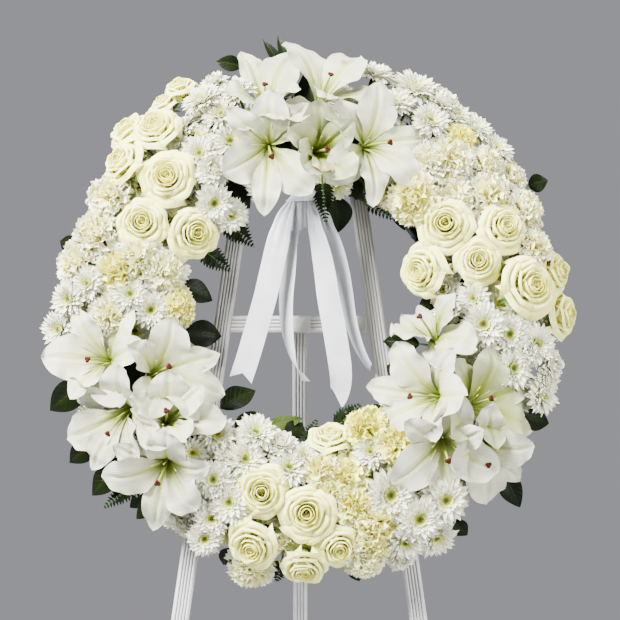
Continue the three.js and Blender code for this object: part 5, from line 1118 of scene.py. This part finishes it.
def slat(acc, base, A, B, D, lo, hi, sec, groove_shade, rows=40, mat=0, seed=0.0):
    """Runs a section along D from lo to hi (a number or one for each outline point)."""
    base, A, B, D = (np.asarray(q, float) for q in (base, A, B, D))
    k = len(sec)
    lo = np.broadcast_to(np.asarray(lo, float), (k,)); hi = np.broadcast_to(np.asarray(hi, float), (k,))
    s = np.linspace(0, 1, rows)[:, None]
    run = lo + (hi - lo) * s
    p = base + sec[None, :, :1] * A + sec[None, :, 1:] * B + run[..., None] * D
    # painted shade: the paint is mixed towards near-black by how deep each point sits in a groove
    c = mixc(PAINT + 0 * p, GROOVE_PAINTED_SHADE, np.broadcast_to(groove_shade, run.shape) * (0.84 + 0.14 * np.sin(run * 0.021 + seed + np.arange(k) * 0.4)))
    uv = np.stack(np.broadcast_arrays(run * 0.01, np.arange(k)[None, :] / k), -1)
    acc.grids(p, c, uv, mat, wrap=True)
    for end, r in ((0, p[0]), (1, p[-1])):
        mid = r.mean(0)
        ring = np.stack([r, mid + (r - mid) * 0.5, mid + (r - mid) * 0.01])
        if end == 0:
            ring = ring[::-1]
        acc.grids(ring[::-1] if end else ring[::-1], PAINT * 0.9, np.zeros(ring.shape[:-1] + (2,)), mat, wrap=True)


def bead_block(acc, x0, x1, y0, y1, z0, z1, r=0.8, mat=0, tint=1.0):
    """A plain block of wood with eased edges."""
    sec = []
    for (cx, cz, a0) in ((x1 - r, z1 - r, 0), (x0 + r, z1 - r, 90), (x0 + r, z0 + r, 180), (x1 - r, z0 + r, 270)):
        for j in range(4):
            a = math.radians(a0 + j * 30)
            sec.append((cx + r * math.cos(a), cz + r * math.sin(a)))
    sec = np.array(sec)
    mid = sec.mean(0)
    ys = [(y0, 0.9), (y0 + 0.3, 0.985), (y0 + r, 1.0), (y1 - r, 1.0), (y1 - 0.3, 0.985), (y1, 0.9)]
    rings = [np.stack([mid[0] + (sec[:, 0] - mid[0]) * (1 - (1 - k) * 0.5), np.full(len(sec), y), mid[1] + (sec[:, 1] - mid[1]) * (1 - (1 - k) * 0.5)], -1) for y, k in ys]
    cap = lambda y, k: np.stack([mid[0] + (sec[:, 0] - mid[0]) * k, np.full(len(sec), y), mid[1] + (sec[:, 1] - mid[1]) * k], -1)
    rings = [cap(y0, 0.01), cap(y0, 0.5)] + rings + [cap(y1, 0.5), cap(y1, 0.01)]
    p = np.stack(rings)
    acc.grids(p, PAINT * tint, np.stack(np.broadcast_arrays(np.arange(len(rings))[:, None] / 9.0, np.arange(len(sec))[None, :] / len(sec)), -1), mat, wrap=True)


def easel():
    sec, groove_shade = slat_section(SLAT_W, SLAT_T, 5, 2.1)
    for side, name in ((-1, "left_leg"), (1, "right_leg")):
        acc = Acc()
        base = np.array([EASEL_X + side * LEG_HALF_AT_0, LEG_FACE, 0.0])
        D = np.array([-side * LEG_SPLAY, 0.0, 1.0])
        L = np.hypot(1, LEG_SPLAY)
        D = D / L
        A = np.array([D[2], 0.0, -D[0]])
        B = np.array([0.0, 1.0, 0.0])
        # level cuts: solve for the run that reaches the floor, and the top
        y = LEG_FACE + sec[:, 1]
        z_floor = (y * ST - CZ) / CT
        lo = (z_floor - sec[:, 0] * A[2]) / D[2]
        hi = (LEG_TOP - sec[:, 0] * A[2]) / D[2]
        slat(acc, base, A, B, D, lo, hi, sec, groove_shade, rows=60, seed=side * 1.3)
        acc.build("slat_" + name, [M_WOOD], nodes=[name], slot="worn_white_paint")
    # crossbar: reeded runs with plain blocks at the middle and the right end
    acc = Acc()
    bar_h = BAR_HIGH - BAR_LOW
    sec, groove_shade = slat_section(bar_h, BAR_T, 4, 2.1)
    zc = (BAR_HIGH + BAR_LOW) / 2
    A, B, D = [0, 0, 1.0], [0, 1.0, 0], [1.0, 0, 0]
    inner = LEG_HALF_AT_0 - SLAT_W / 2 * math.hypot(1, LEG_SPLAY) - 0.35
    left = -inner + LEG_SPLAY * (zc + sec[:, 0]) + EASEL_X
    slat(acc, [0, 1.3, zc], A, B, D, left, np.full(len(sec), EASEL_X - 8.0), sec, groove_shade, rows=14, seed=0.3)
    slat(acc, [0, 1.3, zc], A, B, D, EASEL_X + 13.3, EASEL_X + 71.0, sec, groove_shade, rows=10, seed=2.0)
    bead_block(acc, EASEL_X - 8.2, EASEL_X + 13.5, 1.3, 11.3, BAR_LOW, BAR_HIGH, tint=0.93)
    right = inner - LEG_SPLAY * (BAR_HIGH) - 0.2
    # painted shadow: the right end block is painted at 0.82 of the paint colour for the shade it sits in
    bead_block(acc, EASEL_X + 70.8, EASEL_X + right, 1.3, 11.3, BAR_LOW, BAR_HIGH, tint=0.82)
    # staple across the top edge of the middle block
    q = np.linspace(-1, 1, 9)[:, None]
    pth = np.concatenate([-5.2 + 2.6 * q, 1.25 - 0.35 * np.sqrt(np.clip(1 - q ** 4, 0, 1)), 11.6 + 0 * q], 1)
    acc.tube(pth, 0.55, (0.1, 0.1, 0.1), 1, sides=6)
    acc.build("slat_crossbar", [M_WOOD, M_STEEL], nodes=["crossbar"], slot="worn_white_paint")
    # rear leg, folded out about its pin
    acc = Acc()
    sec, groove_shade = slat_section(REAR_W, REAR_T, 4, 2.0)
    ra = math.radians(REAR_ANGLE)
    D = np.array([0, math.sin(ra), -math.cos(ra)])
    B = np.array([0, math.cos(ra), math.sin(ra)])
    A = np.array([1.0, 0, 0])
    base = np.array([EASEL_X, PIVOT_Y, PIVOT_Z]) - B * REAR_T / 2
    p0 = base + sec[:, :1] * A + sec[:, 1:] * B
    hi = (CZ - p0[:, 1] * ST + p0[:, 2] * CT) / (D[1] * ST - D[2] * CT)
    lo = np.full(len(sec), -REAR_HEAD)
    lo = np.maximum(lo, (13.95 - p0[:, 1]) / D[1])
    slat(acc, base, A, B, D, lo, hi, sec, groove_shade, rows=60, seed=4.0)
    acc.build("slat_rear_leg", [M_WOOD], body=REAR, nodes=["rear_leg"], slot="worn_white_paint")
    # block between the tops of the front legs
    acc = Acc()
    rows = []
    for z in (TOP_BLOCK_LOW, TOP_BLOCK_LOW + 0.8, (TOP_BLOCK_LOW + 288) / 2, 287.2, 288.0):
        h = LEG_HALF_AT_0 - LEG_SPLAY * z - SLAT_W / 2 * math.hypot(1, LEG_SPLAY) - 0.35
        k = 0.6 if z in (TOP_BLOCK_LOW, 288.0) else 0.0
        y0, y1 = 0.3 + k, 12.3 - k
        r = 0.7
        ring = []
        for (cx, cy, a0) in ((h - r, y1 - r, 0), (-h + r, y1 - r, 90), (-h + r, y0 + r, 180), (h - r, y0 + r, 270)):
            for j in range(4):
                a = math.radians(a0 + 30 * j)
                ring.append((EASEL_X + cx + r * math.cos(a), cy + r * math.sin(a), z))
        rows.append(ring)
    p = np.array(rows)
    lowcap = np.stack([p[0].mean(0) + (p[0] - p[0].mean(0)) * k for k in (0.01, 0.5)])
    topcap = np.stack([p[-1].mean(0) + (p[-1] - p[-1].mean(0)) * k for k in (0.5, 0.01)])
    p = np.concatenate([lowcap, p, topcap])
    acc.grids(p, PAINT * 0.95, np.stack(np.broadcast_arrays(np.arange(len(p))[:, None] / 9.0, np.arange(p.shape[1])[None, :] / 16.0), -1), 0, wrap=True)
    acc.build("slat_top_block", [M_WOOD], nodes=["top_block"], slot="worn_white_paint")


# ---------------------------------------------------------------- build all
RIBBON_W = 28.5
rng = np.random.default_rng(20)
for i, spec in enumerate(LILIES, 1):
    lily(i, spec, np.random.default_rng(100 + i), greenish={13: 0.95, 5: 0.85, 3: 0.22, 4: 0.35, 1: 0.12, 7: 0.18, 9: 0.15, 11: 0.3, 14: 0.1}.get(i, 0.05))
for i, spec in enumerate(ROSES, 1):
    rose(i, spec, np.random.default_rng(200 + i))
# small blooms deeper down that close the gaps between the named heads
taken = [(np.array(l["at"]), 52.0) for l in LILIES] + [(np.array(h[0]), h[2] * 1.05) for h in ROSES]
for spec in SPRAYS.values():
    taken += [(np.array(h[0]), h[2] * 1.12) for h in spec["heads"]]
fill = {name: [] for name, spec in SPRAYS.items() if spec["kind"] != "rose"}
frng = np.random.default_rng(77)
count = 0
for _ in range(6000):
    a = frng.uniform(0, 2 * math.pi)
    tube_a = frng.uniform(-0.15, math.pi + 0.15)
    rho = CORE + 76 * math.cos(tube_a)
    y = -30 - 36 * math.sin(tube_a)
    p = np.array([rho * math.cos(a), y, rho * math.sin(a)])
    if rho < 172:
        continue
    if any(np.linalg.norm(((np.array(b) + np.array(t)) / 2 - p)[[0, 2]]) < 24 for b, t, _, _ in LEAVES):
        continue
    r = frng.uniform(18, 23)
    clear = min((np.linalg.norm((p - q) * [1, 0.45, 1]) - 0.62 * rr for q, rr in taken))
    if clear < 0.50 * r:
        continue
    near = min(((np.linalg.norm(np.array(h[0]) - p), name) for name, spec in SPRAYS.items() if name in fill for h in spec["heads"]))[1]
    face = unit(np.array([math.cos(a) * math.cos(tube_a) * 0.9, -max(0.25, math.sin(tube_a)), math.sin(a) * math.cos(tube_a) * 0.9]))
    fill[near].append((p, face, r, 1 if frng.random() < 0.6 else 0) if SPRAYS[near]["kind"] == "mum" else (p, face, r * 1.05, 0))
    taken.append((p, r))
    count += 1
print("fillers", count)
MATS = {"rose": ([M_ROSE, M_STEM], "rose_petal"), "carnation": ([M_CARN, M_STEM], "carnation_petal"), "mum": ([M_MUM, M_STEM, M_DISC], "chrysanthemum_petal")}
for k, (name, spec) in enumerate(SPRAYS.items()):
    mats, slot = MATS[spec["kind"]]
    spray(name, spec, np.random.default_rng(300 + k), mats, slot, extra=fill.get(name, ()))
foliage(np.random.default_rng(400))
ribbon_knot(rng)
ribbon_tail("satin_tail_1", "ribbon_tail_1", RIBBON_1, rng, cut="fork")
ribbon_tail("satin_tail_2", "ribbon_tail_2", RIBBON_2, rng, cut="slant")
ribbon_tail("satin_tail_3", "ribbon_tail_3", RIBBON_3, rng, cut="slantback")
ribbon_tail("satin_tail_4", "ribbon_tail_4", RIBBON_4, rng, cut="slant")
easel()

# CAD nodes that stay: their own materials
SHOWN = {"wreath_hook": M_STEEL, "hinge_bracket": M_STEEL, "hinge_pin": M_STEEL, "ring_tray": M_TRAY, "foam_ring": M_FOAM}
for node, mat in SHOWN.items():
    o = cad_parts[node]
    if len(o.material_slots) == 0:
        o.data.materials.append(mat)
    for sl in o.material_slots:
        sl.material = mat

# ---------------------------------------------------------------- floor, backdrop, light
def sheet_mesh(name, verts, faces, mat):
    me = bpy.data.meshes.new(name)
    me.from_pydata(verts, [], faces)
    me.materials.append(mat)
    for p in me.polygons:
        p.use_smooth = True
    o = bpy.data.objects.new(name, me)
    bpy.context.scene.collection.objects.link(o)
    return o


m_back, nt_b, bsdf_b = principled("studio_floor")
nb = noise(nt_b, 0.8, 3)
rb = ramp(nt_b, nb.outputs["Fac"], [(0.3, (0.250, 0.250, 0.272)), (0.7, (0.265, 0.265, 0.288))])
link(nt_b, rb.outputs["Color"], bsdf_b.inputs["Base Color"])
bsdf_b.inputs["Roughness"].default_value = 0.9
# a round floor that ends before it would enter the picture; the plain studio grey is beyond it
ring_n = 96
verts = [(0.0, 0.0, 0.0)] + [(3.9 * math.cos(2 * math.pi * k / ring_n), 3.9 * math.sin(2 * math.pi * k / ring_n), 0.0) for k in range(ring_n)]
faces = [(0, 1 + k, 1 + (k + 1) % ring_n) for k in range(ring_n)]
floor = sheet_mesh("studio_floor", verts, faces, m_back)


def area_light(name, loc, aim, size, energy, color=(1, 1, 1)):
    d = bpy.data.lights.new(name, "AREA")
    d.shape = "RECTANGLE"
    d.size, d.size_y = size
    d.energy = energy
    d.color = color
    o = bpy.data.objects.new(name, d)
    o.location = loc
    o.rotation_euler = (Vector(aim) - Vector(loc)).to_track_quat("-Z", "Y").to_euler()
    bpy.context.scene.collection.objects.link(o)
    return o


AIM = (0, -0.12, 1.05)
area_light("key", (-1.9, -1.9, 3.1), AIM, (1.5, 1.3), 860)
area_light("fill", (2.3, -1.9, 1.3), AIM, (2.0, 2.0), 150)
area_light("rim", (1.2, 2.4, 2.6), AIM, (1.4, 1.4), 60)
area_light("top", (0.2, -0.6, 3.6), AIM, (1.8, 1.2), 70)
world = bpy.data.worlds.new("studio") if bpy.context.scene.world is None else bpy.context.scene.world
bpy.context.scene.world = world
world.use_nodes = True
bg = world.node_tree.nodes.get("Background")
bg.inputs["Color"].default_value = (0.93, 0.93, 1.0, 1)
bg.inputs["Strength"].default_value = 0.345
